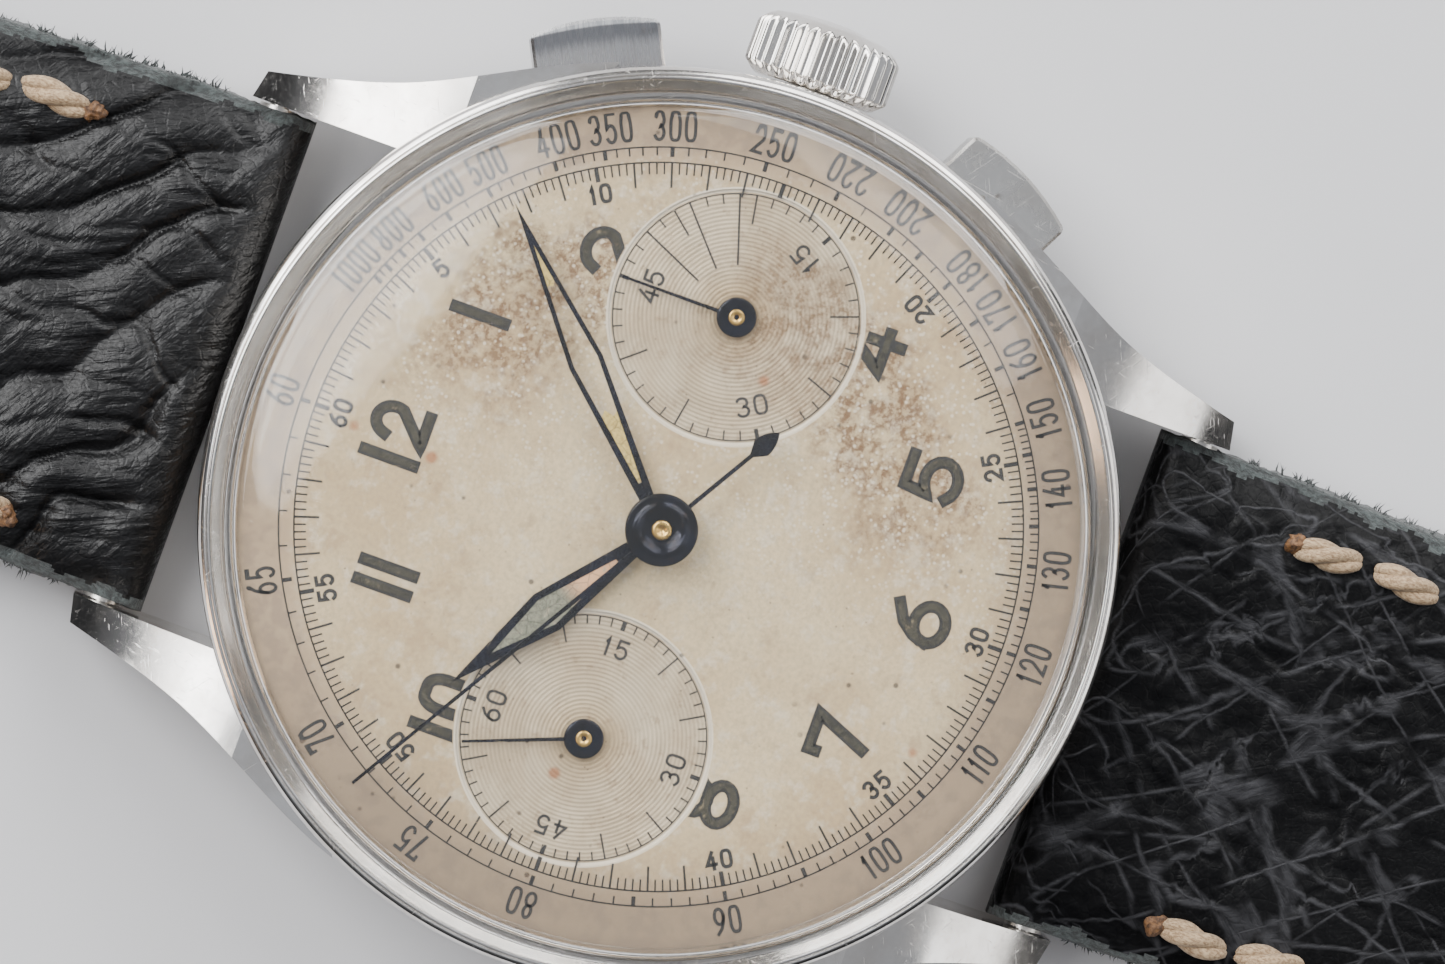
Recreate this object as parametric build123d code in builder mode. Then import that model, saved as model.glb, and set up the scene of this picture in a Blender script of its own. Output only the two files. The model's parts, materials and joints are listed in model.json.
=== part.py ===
from build123d import *
import os
from math import atan2, copysign, cos, degrees, hypot, pi, radians, sin, sqrt

# Two-register chronograph wristwatch, laid open on its case back with both strap halves on the table.
# Millimetres. +Z is up through the dial, +Y is 12 o'clock and +X is 3 o'clock.
# The origin is the centre of the case back's flat outer face.

os.makedirs("parts", exist_ok=True)

# ---------------------------------------------------------------- driving dimensions: case
BEZEL_R = 17.5
CASE_R = 17.2
BORE_R = 14.4
SEAT_R = 16.3
BACK_FLAT_R = 12.0
BACK_R = 17.0
BACK_TOP = 2.2
DIAL_LOW = 7.2
DIAL_TOP = 7.6
BEZEL_TOP = 9.2
CRYSTAL_R = 16.6
CRYSTAL_TOP = 12.7

# ---------------------------------------------------------------- driving dimensions: lugs, strap
LUG_GAP = 20.3
LUG_TIP_Y = 20.1
BAR_Y = 19.0
BAR_Z = 2.6
BAR_R = 0.75
BAR_TIP_R = 0.4
BAR_BODY = 20.2
BAR_SPAN = 21.8
STRAP_WIDE = 19.9
STRAP_NARROW = 16.2
LOOP_R = 1.6
LOOP_BORE = 0.85
LINING = 1.0
BUCKLE_HALF = 75.0
HOLE_HALF = 115.0
STRAP_HOLES = 7
STRAP_HOLE_PITCH = 6.5

# ---------------------------------------------------------------- driving dimensions: controls
STEM_Z = 4.2
CROWN_R = 2.875
CROWN_IN = 17.6
CROWN_OUT = 20.4
FLUTES = 34
PUSHER_ANGLE = 27.0
PUSHER_WIDE = 5.0
PUSHER_HIGH = 2.4
PUSHER_IN = 17.25
PUSHER_OUT = 19.5
SHAFT_END = 13.65

# ---------------------------------------------------------------- driving dimensions: movement
PLATE_R = 14.1
RIM_R = 13.0
PLATE_LOW = 5.5
BRIDGE_LOW = 2.8
BRIDGE_TOP = 3.5
WORKS_LOW = 1.6
WORKS_TOP = 1.8
WINDING_LOW = 2.4
WINDING_TOP = 2.7
REGISTER_X = 8.45
REGISTER_R = 4.85
JEWEL_R = 0.5

# teeth and modules of the going train, the motion work and the winding train
BARREL_TEETH = 78
CENTRE_PINION_TEETH = 12
BARREL_MODULE = 0.15
CENTRE_TEETH = 80
THIRD_PINION_TEETH = 10
THIRD_TEETH = 75
FOURTH_PINION_TEETH = 10
TRAIN_MODULE = 0.1
FOURTH_TEETH = 80
ESCAPE_PINION_TEETH = 8
ESCAPE_MODULE = 0.08
ESCAPE_TEETH = 15
CANNON_TEETH = 12
MINUTE_WHEEL_TEETH = 36
MINUTE_PINION_TEETH = 10
HOUR_WHEEL_TEETH = 40
MOTION_DISTANCE = 2.5
RATCHET_TEETH = 66
INTERMEDIATE_TEETH = 24
CROWN_WHEEL_TEETH = 22
WINDING_PINION_TEETH = 20
WINDING_PINION_MODULE = 0.138
WINDING_MODULE = 0.15

# ---------------------------------------------------------------- hands: clockwise angles from 12
HOUR_ANGLE = 303.8
MINUTE_ANGLE = 46.0
CHRONO_ANGLE = 300.8
SECONDS_ANGLE = 339.0
COUNTER_ANGLE = 0.0


def polar(radius, angle, centre=(0.0, 0.0)):
    """Point at a radius and a counter-clockwise angle in degrees about a centre."""
    return (centre[0] + radius * cos(radians(angle)), centre[1] + radius * sin(radians(angle)))


def meeting_point(first, reach_first, second, reach_second, side):
    """Point at two given distances from two centres, on one side of the line between them."""
    dx = second[0] - first[0]
    dy = second[1] - first[1]
    gap = hypot(dx, dy)
    along = (reach_first**2 - reach_second**2 + gap**2) / (2 * gap)
    off = side * sqrt(reach_first**2 - along**2)
    return (first[0] + (along * dx - off * dy) / gap, first[1] + (along * dy + off * dx) / gap)


def bearing(first, second):
    """Direction in degrees from one centre to another."""
    return degrees(atan2(second[1] - first[1], second[0] - first[0]))


def meshed(first, second, first_teeth, second_teeth, first_phase):
    """Phase that puts a gap of the second wheel round a tooth of the first one."""
    line = bearing(first, second)
    return line + 180 + 180 / second_teeth + (line - first_phase) * first_teeth / second_teeth


def disc(radius, low, high, at=(0.0, 0.0), mode=Mode.ADD):
    """Upright cylinder between two heights."""
    with Locations((at[0], at[1], low)):
        Cylinder(radius, high - low, align=(Align.CENTER, Align.CENTER, Align.MIN), mode=mode)


def radial_rod(rod_r, start, end, angle, height, mode=Mode.ADD):
    """Cylinder that lies along a radius of the watch, between two distances from its axis."""
    outward = (cos(radians(angle)), sin(radians(angle)), 0)
    with Locations(Plane(origin=(*polar(start, angle), height), z_dir=outward).location):
        Cylinder(rod_r, end - start, align=(Align.CENTER, Align.CENTER, Align.MIN), mode=mode)


def dome_middle(top, rim_r, rim_height):
    """Point half way out on a sphere that is centred on the axis and runs from its top to its rim."""
    sag = top - rim_height
    ball_r = (rim_r**2 + sag**2) / (2 * sag)
    return (rim_r / 2, top - ball_r + sqrt(ball_r**2 - rim_r**2 / 4))


def block(x_range, y_range, z_range, mode=Mode.ADD):
    """Box between two limits along each axis."""
    with Locations((x_range[0], y_range[0], z_range[0])):
        Box(
            x_range[1] - x_range[0],
            y_range[1] - y_range[0],
            z_range[1] - z_range[0],
            align=(Align.MIN, Align.MIN, Align.MIN),
            mode=mode,
        )


def toothed_outline(teeth, module, phase=0.0):
    """Outline of a spur wheel with straight-flanked teeth and running backlash."""
    pitch_r = teeth * module / 2
    steps = ((-0.29, -1.1), (-0.21, 0.0), (-0.1, 0.7), (0.1, 0.7), (0.21, 0.0), (0.29, -1.1))
    points = []
    for tooth in range(teeth):
        for share, height in steps:
            points.append(polar(pitch_r + height * module, phase + (tooth + share) * 360 / teeth))
    with BuildSketch() as outline:
        with BuildLine():
            Polyline(*points, close=True)
        make_face()
    return outline.sketch


def wheel(teeth, module, phase, at, low, high, spokes=0):
    """Toothed wheel with optional windows between its spokes."""
    pitch_r = teeth * module / 2
    with BuildPart() as made:
        with BuildSketch(Plane((at[0], at[1], low))):
            add(toothed_outline(teeth, module, phase))
            if spokes:
                with PolarLocations(pitch_r * 0.52, spokes, start_angle=phase):
                    Circle(pitch_r * 0.24, mode=Mode.SUBTRACT)
        extrude(amount=high - low)
    return made.part


def spiral(inner_r, outer_r, turns, thickness, at, low, high):
    """Flat spiral spring strip standing between two heights."""
    steps = int(turns * 24)
    inside = []
    outside = []
    for step in range(steps + 1):
        radius = inner_r + (outer_r - inner_r) * step / steps
        inside.append(polar(radius, step * 15, at))
        outside.append(polar(radius + thickness, step * 15, at))
    with BuildPart() as made:
        with BuildSketch(Plane.XY.offset(low)):
            with BuildLine():
                Polyline(*inside, *reversed(outside), close=True)
            make_face()
        extrude(amount=high - low)
    return made.part


# ---------------------------------------------------------------- layout of the movement
CENTRE = (0.0, 0.0)
SECONDS = (-REGISTER_X, 0.0)
COUNTER = (REGISTER_X, 0.0)
THIRD_REACH = (CENTRE_TEETH + THIRD_PINION_TEETH) * TRAIN_MODULE / 2
FOURTH_REACH = (THIRD_TEETH + FOURTH_PINION_TEETH) * TRAIN_MODULE / 2
THIRD = meeting_point(CENTRE, THIRD_REACH, SECONDS, FOURTH_REACH, 1)
ESCAPE = polar((FOURTH_TEETH + ESCAPE_PINION_TEETH) * ESCAPE_MODULE / 2, -100, SECONDS)
PALLET = polar(2.5, -40, ESCAPE)
BALANCE = polar(4.0, -40, PALLET)
BARREL = polar((BARREL_TEETH + CENTRE_PINION_TEETH) * BARREL_MODULE / 2, 62)
CROWN_WHEEL = (10.9, 0.0)
CROWN_WHEEL_REACH = (CROWN_WHEEL_TEETH + INTERMEDIATE_TEETH) * WINDING_MODULE / 2
RATCHET_REACH = (RATCHET_TEETH + INTERMEDIATE_TEETH) * WINDING_MODULE / 2
INTERMEDIATE = meeting_point(CROWN_WHEEL, CROWN_WHEEL_REACH, BARREL, RATCHET_REACH, -1)
MINUTE_WHEEL = polar(MOTION_DISTANCE, -90)
COLUMN_WHEEL = (9.6, 7.2)
COUPLING = (-REGISTER_X / 2 - 0.025, 0.0)
START_LEVER = (12.3, 3.3)
HAMMER = (9.0, -8.6)
JEWELLED = (THIRD, ESCAPE, PALLET, BALANCE)
SCREW_ANGLES = (68, 112, 152, 204, 252, 300, 340)
SCREW_CIRCLE = 13.5

# ---------------------------------------------------------------- case middle with four lugs
LUG_LOW = 0.9
LUG_HIGH = 7.1
with BuildPart() as lug:
    # plan: concave outer edge that runs tangent into the case, straight inner face
    with BuildSketch(Plane.XY.offset(LUG_LOW)):
        with BuildLine():
            Line((LUG_GAP / 2, 10.0), (LUG_GAP / 2, LUG_TIP_Y))
            Line((LUG_GAP / 2, LUG_TIP_Y), (11.25, 19.85))
            Spline((11.25, 19.85), (11.7, 17.8), (12.7, 14.5), (14.25, 11.4), (16.1, 7.4))
            Line((16.1, 7.4), (LUG_GAP / 2, 10.0))
        make_face()
    extrude(amount=LUG_HIGH - LUG_LOW)
    # side: the top falls towards the tip and the underside rises to the case back's edge
    with BuildSketch(Plane.YZ.offset(5.0)):
        with BuildLine():
            Line((6.5, BACK_TOP), (14.0, 1.6))
            Spline((14.0, 1.6), (17.0, 1.0), (LUG_TIP_Y + 0.5, LUG_LOW + 0.05))
            Line((LUG_TIP_Y + 0.5, LUG_LOW + 0.05), (LUG_TIP_Y + 0.5, 3.1))
            Spline((LUG_TIP_Y + 0.5, 3.1), (17.5, 5.3), (13.5, 6.85), (6.5, LUG_HIGH - 0.05))
            Line((6.5, LUG_HIGH - 0.05), (6.5, BACK_TOP))
        make_face()
    extrude(amount=14.0, mode=Mode.INTERSECT)
    with Locations(Location((LUG_GAP / 2 - 0.1, BAR_Y, BAR_Z), (0, 90, 0))):
        Cylinder(BAR_TIP_R, 0.9, align=(Align.CENTER, Align.CENTER, Align.MIN), mode=Mode.SUBTRACT)

with BuildPart() as case_middle:
    disc(CASE_R, BACK_TOP, DIAL_TOP)
    add(lug.part)
    mirror(lug.part, about=Plane.YZ)
    mirror(lug.part, about=Plane.XZ)
    mirror(mirror(lug.part, about=Plane.YZ, mode=Mode.PRIVATE), about=Plane.XZ)
    disc(BORE_R, 0.0, DIAL_LOW + 0.1, mode=Mode.SUBTRACT)
    disc(BACK_R + 0.02, 0.0, BACK_TOP, mode=Mode.SUBTRACT)
    disc(SEAT_R, DIAL_LOW, DIAL_TOP + 0.1, mode=Mode.SUBTRACT)
    radial_rod(1.0, 12.4, 18.4, 0, STEM_Z, mode=Mode.SUBTRACT)
    for side in (-1, 1):
        radial_rod(1.1, 12.5, 18.5, side * PUSHER_ANGLE, STEM_Z, mode=Mode.SUBTRACT)
        # pocket in the wall and the lug's root that the pusher's block sinks into
        with Locations(Location((*polar(18.45, side * PUSHER_ANGLE), STEM_Z), (0, 0, side * PUSHER_ANGLE))):
            Box(4.0, PUSHER_WIDE + 0.2, PUSHER_HIGH + 0.2, mode=Mode.SUBTRACT)
case_middle.part.label = "case_middle"
export_step(case_middle.part, "parts/case_middle.step")

# ---------------------------------------------------------------- snap-on case back
with BuildPart() as case_back:
    with BuildSketch(Plane.XZ):
        with BuildLine():
            Line((0, 0), (BACK_FLAT_R, 0))
            ThreePointArc((BACK_FLAT_R, 0), (15.3, 0.55), (BACK_R, 1.9))
            Line((BACK_R, 1.9), (BACK_R, BACK_TOP))
            Line((BACK_R, BACK_TOP), (BORE_R - 0.02, BACK_TOP))
            Line((BORE_R - 0.02, BACK_TOP), (BORE_R - 0.02, BACK_TOP + 0.25))
            Line((BORE_R - 0.02, BACK_TOP + 0.25), (13.9, BACK_TOP + 0.25))
            Line((13.9, BACK_TOP + 0.25), (13.9, 1.3))
            Line((13.9, 1.3), (12.6, 0.8))
            Line((12.6, 0.8), (0, 0.8))
            Line((0, 0.8), (0, 0))
        make_face()
    revolve(axis=Axis.Z)
case_back.part.label = "case_back"
export_step(case_back.part, "parts/case_back.step")

# ---------------------------------------------------------------- bezel
with BuildPart() as bezel:
    with BuildSketch(Plane.XZ):
        with BuildLine():
            Line((CRYSTAL_R + 0.02, DIAL_TOP), (BEZEL_R - 0.1, DIAL_TOP))
            Line((BEZEL_R - 0.1, DIAL_TOP), (BEZEL_R, DIAL_TOP + 0.1))
            Line((BEZEL_R, DIAL_TOP + 0.1), (BEZEL_R, BEZEL_TOP - 0.45))
            ThreePointArc((BEZEL_R, BEZEL_TOP - 0.45), (17.4, BEZEL_TOP - 0.15), (17.12, BEZEL_TOP))
            Line((17.12, BEZEL_TOP), (17.04, BEZEL_TOP - 0.06))
            Line((17.04, BEZEL_TOP - 0.06), (CRYSTAL_R + 0.02, BEZEL_TOP - 0.34))
            Line((CRYSTAL_R + 0.02, BEZEL_TOP - 0.34), (CRYSTAL_R + 0.02, DIAL_TOP))
        make_face()
    revolve(axis=Axis.Z)
bezel.part.label = "bezel"
export_step(bezel.part, "parts/bezel.step")

# ---------------------------------------------------------------- domed acrylic crystal
with BuildPart() as crystal:
    with BuildSketch(Plane.XZ):
        with BuildLine():
            Line((15.9, DIAL_TOP), (CRYSTAL_R, DIAL_TOP))
            Line((CRYSTAL_R, DIAL_TOP), (CRYSTAL_R, 9.5))
            ThreePointArc((CRYSTAL_R, 9.5), (16.3, 10.35), (15.6, 10.8))
            ThreePointArc((15.6, 10.8), dome_middle(CRYSTAL_TOP, 15.6, 10.8), (0, CRYSTAL_TOP))
            Line((0, CRYSTAL_TOP), (0, CRYSTAL_TOP - 1.1))
            ThreePointArc((0, CRYSTAL_TOP - 1.1), dome_middle(CRYSTAL_TOP - 1.1, 14.8, 9.85), (14.8, 9.85))
            ThreePointArc((14.8, 9.85), (15.6, 9.5), (15.9, 8.9))
            Line((15.9, 8.9), (15.9, DIAL_TOP))
        make_face()
    revolve(axis=Axis.Z)
crystal.part.label = "crystal"
export_step(crystal.part, "parts/crystal.step")

# ---------------------------------------------------------------- fluted crown
with BuildPart() as crown:
    with BuildSketch(Plane.XY):
        with BuildLine():
            Line((CROWN_IN, 1.2), (CROWN_IN, 2.3))
            Line((CROWN_IN, 2.3), (CROWN_IN + 0.45, CROWN_R))
            Line((CROWN_IN + 0.45, CROWN_R), (CROWN_OUT - 0.75, CROWN_R))
            Line((CROWN_OUT - 0.75, CROWN_R), (CROWN_OUT - 0.25, 2.3))
            ThreePointArc(
                (CROWN_OUT - 0.25, 2.3),
                tuple(reversed(dome_middle(CROWN_OUT, 2.3, CROWN_OUT - 0.25))),
                (CROWN_OUT, 0),
            )
            Line((CROWN_OUT, 0), (CROWN_OUT - 1.2, 0))
            Line((CROWN_OUT - 1.2, 0), (CROWN_OUT - 1.2, 0.5))
            Line((CROWN_OUT - 1.2, 0.5), (18.4, 0.5))
            Line((18.4, 0.5), (18.4, 1.2))
            Line((18.4, 1.2), (CROWN_IN, 1.2))
        make_face()
    revolve(axis=Axis.X)
    with BuildSketch(Plane.YZ.offset(CROWN_IN - 0.1)):
        with PolarLocations(CROWN_R + 0.02, FLUTES):
            Circle(0.17)
    extrude(amount=CROWN_OUT - CROWN_IN + 0.2, mode=Mode.SUBTRACT)
crown_at_stem = crown.part.moved(Location((0, 0, STEM_Z)))
crown_at_stem.label = "crown"
export_step(crown_at_stem, "parts/crown.step")

# ---------------------------------------------------------------- crown tube
with BuildPart() as crown_tube:
    radial_rod(1.0, 14.45, 18.2, 0, STEM_Z)
    radial_rod(0.55, 14.45, 18.2, 0, STEM_Z, mode=Mode.SUBTRACT)
crown_tube.part.label = "crown_tube"
export_step(crown_tube.part, "parts/crown_tube.step")


# ---------------------------------------------------------------- rectangular chronograph pushers
def pusher(angle):
    """Rectangular cap with a domed outer face on a round shaft that slides along the radius."""
    half_wide = PUSHER_WIDE / 2
    shoulder = PUSHER_OUT - 0.35
    with BuildPart() as made:
        with BuildSketch(Plane.XY.offset(-PUSHER_HIGH / 2)):
            with BuildLine():
                Line((PUSHER_IN, -half_wide), (shoulder, -half_wide))
                ThreePointArc((shoulder, -half_wide), (PUSHER_OUT, 0), (shoulder, half_wide))
                Line((shoulder, half_wide), (PUSHER_IN, half_wide))
                Line((PUSHER_IN, half_wide), (PUSHER_IN, -half_wide))
            make_face()
        extrude(amount=PUSHER_HIGH)
        fillet(made.edges().filter_by(Axis.Z).sort_by(Axis.X)[-2:], 0.3)
        chamfer(made.faces().sort_by(Axis.Z)[-1].edges(), 0.12)
        radial_rod(0.7, SHAFT_END, PUSHER_IN + 0.2, 0, 0)
    return made.part.moved(Location((0, 0, STEM_Z), (0, 0, angle)))


start_pusher = pusher(PUSHER_ANGLE)
start_pusher.label = "start_pusher"
export_step(start_pusher, "parts/start_pusher.step")
reset_pusher = pusher(-PUSHER_ANGLE)
reset_pusher.label = "reset_pusher"
export_step(reset_pusher, "parts/reset_pusher.step")

# ---------------------------------------------------------------- pusher tubes, pressed in the case wall
with BuildPart() as pusher_tubes:
    for side in (-1, 1):
        radial_rod(1.1, 14.5, 16.4, side * PUSHER_ANGLE, STEM_Z)
        radial_rod(0.75, 14.5, 16.4, side * PUSHER_ANGLE, STEM_Z, mode=Mode.SUBTRACT)
pusher_tubes.part.label = "pusher_tubes"
export_step(pusher_tubes.part, "parts/pusher_tubes.step")

# ---------------------------------------------------------------- dial with two sunk registers
FOOT_ANGLES = (135, -45)
FOOT_CIRCLE = 12.6
with BuildPart() as dial:
    disc(SEAT_R - 0.05, DIAL_LOW, DIAL_TOP)
    disc(0.9, DIAL_LOW, DIAL_TOP, mode=Mode.SUBTRACT)
    for centre in (SECONDS, COUNTER):
        disc(REGISTER_R, DIAL_TOP - 0.12, DIAL_TOP, centre, mode=Mode.SUBTRACT)
        disc(0.3, DIAL_LOW, DIAL_TOP, centre, mode=Mode.SUBTRACT)
    for angle in FOOT_ANGLES:
        disc(0.4, 6.0, DIAL_LOW + 0.1, polar(FOOT_CIRCLE, angle))
dial.part.label = "dial"
export_step(dial.part, "parts/dial.step")

# ---------------------------------------------------------------- two screws that clamp the dial feet
with BuildPart() as dial_screws:
    for angle in FOOT_ANGLES:
        radial_rod(0.3, FOOT_CIRCLE + 0.42, PLATE_R, angle, 6.5)
dial_screws.part.label = "dial_screws"
export_step(dial_screws.part, "parts/dial_screws.step")


# ---------------------------------------------------------------- hands
def lozenge_hand(tip, shoulder, half_wide, frame, hub_r, bore_r, low, thick, angle):
    """Skeleton hand: a long lozenge frame, open in the middle, on a round hub."""
    with BuildPart() as made:
        with BuildSketch(Plane.XY.offset(low)):
            with BuildLine():
                Polyline(
                    (-0.24, 0.5),
                    (-half_wide, shoulder),
                    (0, tip),
                    (half_wide, shoulder),
                    (0.24, 0.5),
                    close=True,
                )
            make_face()
            with BuildLine():
                Polyline(
                    (-0.06, hub_r + 0.7),
                    (frame - half_wide, shoulder),
                    (0, tip - 2.6 * frame - 1.2),
                    (half_wide - frame, shoulder),
                    (0.06, hub_r + 0.7),
                    close=True,
                )
            make_face(mode=Mode.SUBTRACT)
            Circle(hub_r)
            Circle(bore_r, mode=Mode.SUBTRACT)
        extrude(amount=thick)
        with BuildSketch(Plane.XY.offset(low)):
            Circle(hub_r)
            Circle(bore_r, mode=Mode.SUBTRACT)
        extrude(amount=thick + 0.12)
    return made.part.moved(Location((0, 0, 0), (0, 0, -angle)))


hour_hand = lozenge_hand(9.8, 5.3, 0.83, 0.27, 1.33, 0.76, 7.95, 0.1, HOUR_ANGLE)
hour_hand.label = "hour_hand"
export_step(hour_hand, "parts/hour_hand.step")
minute_hand = lozenge_hand(13.4, 6.9, 0.68, 0.19, 1.2, 0.49, 8.3, 0.1, MINUTE_ANGLE)
minute_hand.label = "minute_hand"
export_step(minute_hand, "parts/minute_hand.step")

with BuildPart() as chronograph_hand:
    with BuildSketch(Plane.XY.offset(8.76)):
        with BuildLine():
            Polyline((-0.09, 0.5), (-0.06, 15.0), (0.06, 15.0), (0.09, 0.5), close=True)
        make_face()
        with BuildLine():
            Polyline((-0.09, -0.5), (-0.08, -4.4), (0.08, -4.4), (0.09, -0.5), close=True)
        make_face()
        with BuildLine():
            Line((0, -4.26), (0.39, -4.85))
            Spline((0.39, -4.85), (0.3, -5.3), (0, -5.75))
            Spline((0, -5.75), (-0.3, -5.3), (-0.39, -4.85))
            Line((-0.39, -4.85), (0, -4.26))
        make_face()
        Circle(1.06)
        Circle(0.16, mode=Mode.SUBTRACT)
    extrude(amount=0.1)
    disc(0.42, 8.56, 9.1)
    disc(0.16, 8.5, 9.2, mode=Mode.SUBTRACT)
chronograph_seconds_hand = chronograph_hand.part.moved(Location((0, 0, 0), (0, 0, -CHRONO_ANGLE)))
chronograph_seconds_hand.label = "chronograph_seconds_hand"
export_step(chronograph_seconds_hand, "parts/chronograph_seconds_hand.step")


def register_hand(length, centre, angle):
    """Small register hand: a thin needle with a short tail on a round hub."""
    with BuildPart() as made:
        with BuildSketch(Plane.XY.offset(7.72)):
            with BuildLine():
                Polyline((-0.08, 0), (-0.05, length), (0.05, length), (0.08, 0), close=True)
            make_face()
            Circle(0.75)
            Circle(0.15, mode=Mode.SUBTRACT)
        extrude(amount=0.08)
        disc(0.31, 7.64, 7.86)
        disc(0.15, 7.6, 7.9, mode=Mode.SUBTRACT)
    return made.part.moved(Location((centre[0], centre[1], 0), (0, 0, -angle)))


running_seconds_hand = register_hand(4.6, SECONDS, SECONDS_ANGLE)
running_seconds_hand.label = "running_seconds_hand"
export_step(running_seconds_hand, "parts/running_seconds_hand.step")
minute_counter_hand = register_hand(4.57, COUNTER, COUNTER_ANGLE)
minute_counter_hand.label = "minute_counter_hand"
export_step(minute_counter_hand, "parts/minute_counter_hand.step")

# ---------------------------------------------------------------- mainplate
with BuildPart() as mainplate:
    disc(PLATE_R, BRIDGE_TOP, DIAL_LOW)
    disc(RIM_R, BRIDGE_TOP, PLATE_LOW, mode=Mode.SUBTRACT)
    # pillar that carries the stem's inner end, between the register arbor and the clutch
    block((8.95, 10.0), (-1.0, 1.0), (BRIDGE_TOP, PLATE_LOW))
    radial_rod(0.33, 8.9, 10.1, 0, STEM_Z, mode=Mode.SUBTRACT)
    # slot for the keyless work, open through the rim
    block((10.0, 14.3), (-2.2, 2.6), (BRIDGE_TOP, 5.9), mode=Mode.SUBTRACT)
    # motion work recess under the dial
    disc(4.9, 6.4, DIAL_LOW, polar(0.9, -90), mode=Mode.SUBTRACT)
    disc(0.36, PLATE_LOW, DIAL_LOW, mode=Mode.SUBTRACT)
    disc(0.22, BRIDGE_TOP, DIAL_LOW, SECONDS, mode=Mode.SUBTRACT)
    disc(0.22, BRIDGE_TOP, DIAL_LOW, COUNTER, mode=Mode.SUBTRACT)
    disc(0.47, PLATE_LOW, 6.2, BARREL, mode=Mode.SUBTRACT)
    for place in JEWELLED:
        disc(JEWEL_R, PLATE_LOW, PLATE_LOW + 0.3, place, mode=Mode.SUBTRACT)
    for angle in FOOT_ANGLES:
        disc(0.42, 5.8, DIAL_LOW, polar(FOOT_CIRCLE, angle), mode=Mode.SUBTRACT)
        radial_rod(0.3, FOOT_CIRCLE, PLATE_R + 0.1, angle, 6.5, mode=Mode.SUBTRACT)
    for angle in SCREW_ANGLES:
        disc(0.3, BRIDGE_TOP, BRIDGE_TOP + 1.2, polar(SCREW_CIRCLE, angle), mode=Mode.SUBTRACT)
    # notches that let the pushers reach their levers
    for side in (-1, 1):
        with Locations(Location((*polar(13.3, side * PUSHER_ANGLE), 4.5), (0, 0, side * PUSHER_ANGLE))):
            Box(2.2, 3.6, 2.0 + 0.6, mode=Mode.SUBTRACT)
mainplate.part.label = "mainplate"
export_step(mainplate.part, "parts/mainplate.step")


# ---------------------------------------------------------------- bridges
def bridge(outline):
    """Bridge plate: the stretch of the movement's disc inside an outline, drilled for its screws."""
    with BuildPart() as made:
        with BuildSketch(Plane.XY.offset(BRIDGE_LOW)):
            Circle(PLATE_R - 0.05)
            with BuildLine():
                Polyline(*outline, close=True)
            make_face(mode=Mode.INTERSECT)
        extrude(amount=BRIDGE_TOP - BRIDGE_LOW)
        for angle in SCREW_ANGLES:
            disc(0.3, BRIDGE_LOW, BRIDGE_TOP, polar(SCREW_CIRCLE, angle), mode=Mode.SUBTRACT)
        for place in JEWELLED:
            disc(JEWEL_R, BRIDGE_TOP - 0.3, BRIDGE_TOP, place, mode=Mode.SUBTRACT)
            disc(0.3, BRIDGE_LOW, BRIDGE_TOP, place, mode=Mode.SUBTRACT)
    return made.part


with BuildPart() as barrel_bridge:
    add(bridge(((-1.6, 15), (-1.6, -1.8), (0.8, -4.6), (0.8, -15), (15, -15), (15, 15))))
    disc(0.42, BRIDGE_LOW, BRIDGE_TOP, mode=Mode.SUBTRACT)
    disc(0.22, BRIDGE_LOW, BRIDGE_TOP, COUNTER, mode=Mode.SUBTRACT)
    disc(0.47, BRIDGE_LOW, BRIDGE_TOP, BARREL, mode=Mode.SUBTRACT)
    block((11.7, 14.2), (-1.6, 1.6), (BRIDGE_LOW, BRIDGE_TOP), mode=Mode.SUBTRACT)
    block((9.6, 11.8), (-1.2, 1.2), (3.05, BRIDGE_TOP), mode=Mode.SUBTRACT)
    for side in (-1, 1):
        with Locations(Location((*polar(13.5, side * PUSHER_ANGLE), 3.1), (0, 0, side * PUSHER_ANGLE))):
            Box(2.6, 3.6, 1.4, mode=Mode.SUBTRACT)
    # posts that carry the winding wheels and the levers
    for place, post_r, post_low in (
        (CROWN_WHEEL, 0.4, WINDING_LOW),
        (INTERMEDIATE, 0.4, WINDING_LOW),
        (COLUMN_WHEEL, 0.35, 1.35),
        (START_LEVER, 0.3, WORKS_LOW),
        (HAMMER, 0.3, WORKS_LOW),
    ):
        disc(post_r, post_low, BRIDGE_LOW + 0.05, place)
barrel_bridge.part.label = "barrel_bridge"
export_step(barrel_bridge.part, "parts/barrel_bridge.step")

with BuildPart() as train_bridge:
    add(bridge(((-1.75, 15), (-1.75, -3.0), (-3.6, -6.3), (-15, -6.3), (-15, 15))))
    disc(0.22, BRIDGE_LOW, BRIDGE_TOP, SECONDS, mode=Mode.SUBTRACT)
    disc(0.15, WORKS_LOW, BRIDGE_LOW + 0.05, COUPLING)
train_bridge.part.label = "train_bridge"
export_step(train_bridge.part, "parts/train_bridge.step")

with BuildPart() as balance_cock:
    add(bridge(((-5.0, -6.5), (-1.9, -6.5), (-1.2, -15), (-8.0, -15))))
balance_cock.part.label = "balance_cock"
export_step(balance_cock.part, "parts/balance_cock.step")

# ---------------------------------------------------------------- bridge screws, seven alike
with BuildPart() as bridge_screws:
    for angle in SCREW_ANGLES:
        place = polar(SCREW_CIRCLE, angle)
        disc(0.3, BRIDGE_LOW, BRIDGE_TOP + 1.1, place)
        disc(0.55, BRIDGE_LOW - 0.3, BRIDGE_LOW, place)
        with Locations(Location((place[0], place[1], BRIDGE_LOW - 0.3), (0, 0, angle))):
            Box(1.2, 0.14, 0.24, mode=Mode.SUBTRACT)
bridge_screws.part.label = "bridge_screws"
export_step(bridge_screws.part, "parts/bridge_screws.step")

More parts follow.
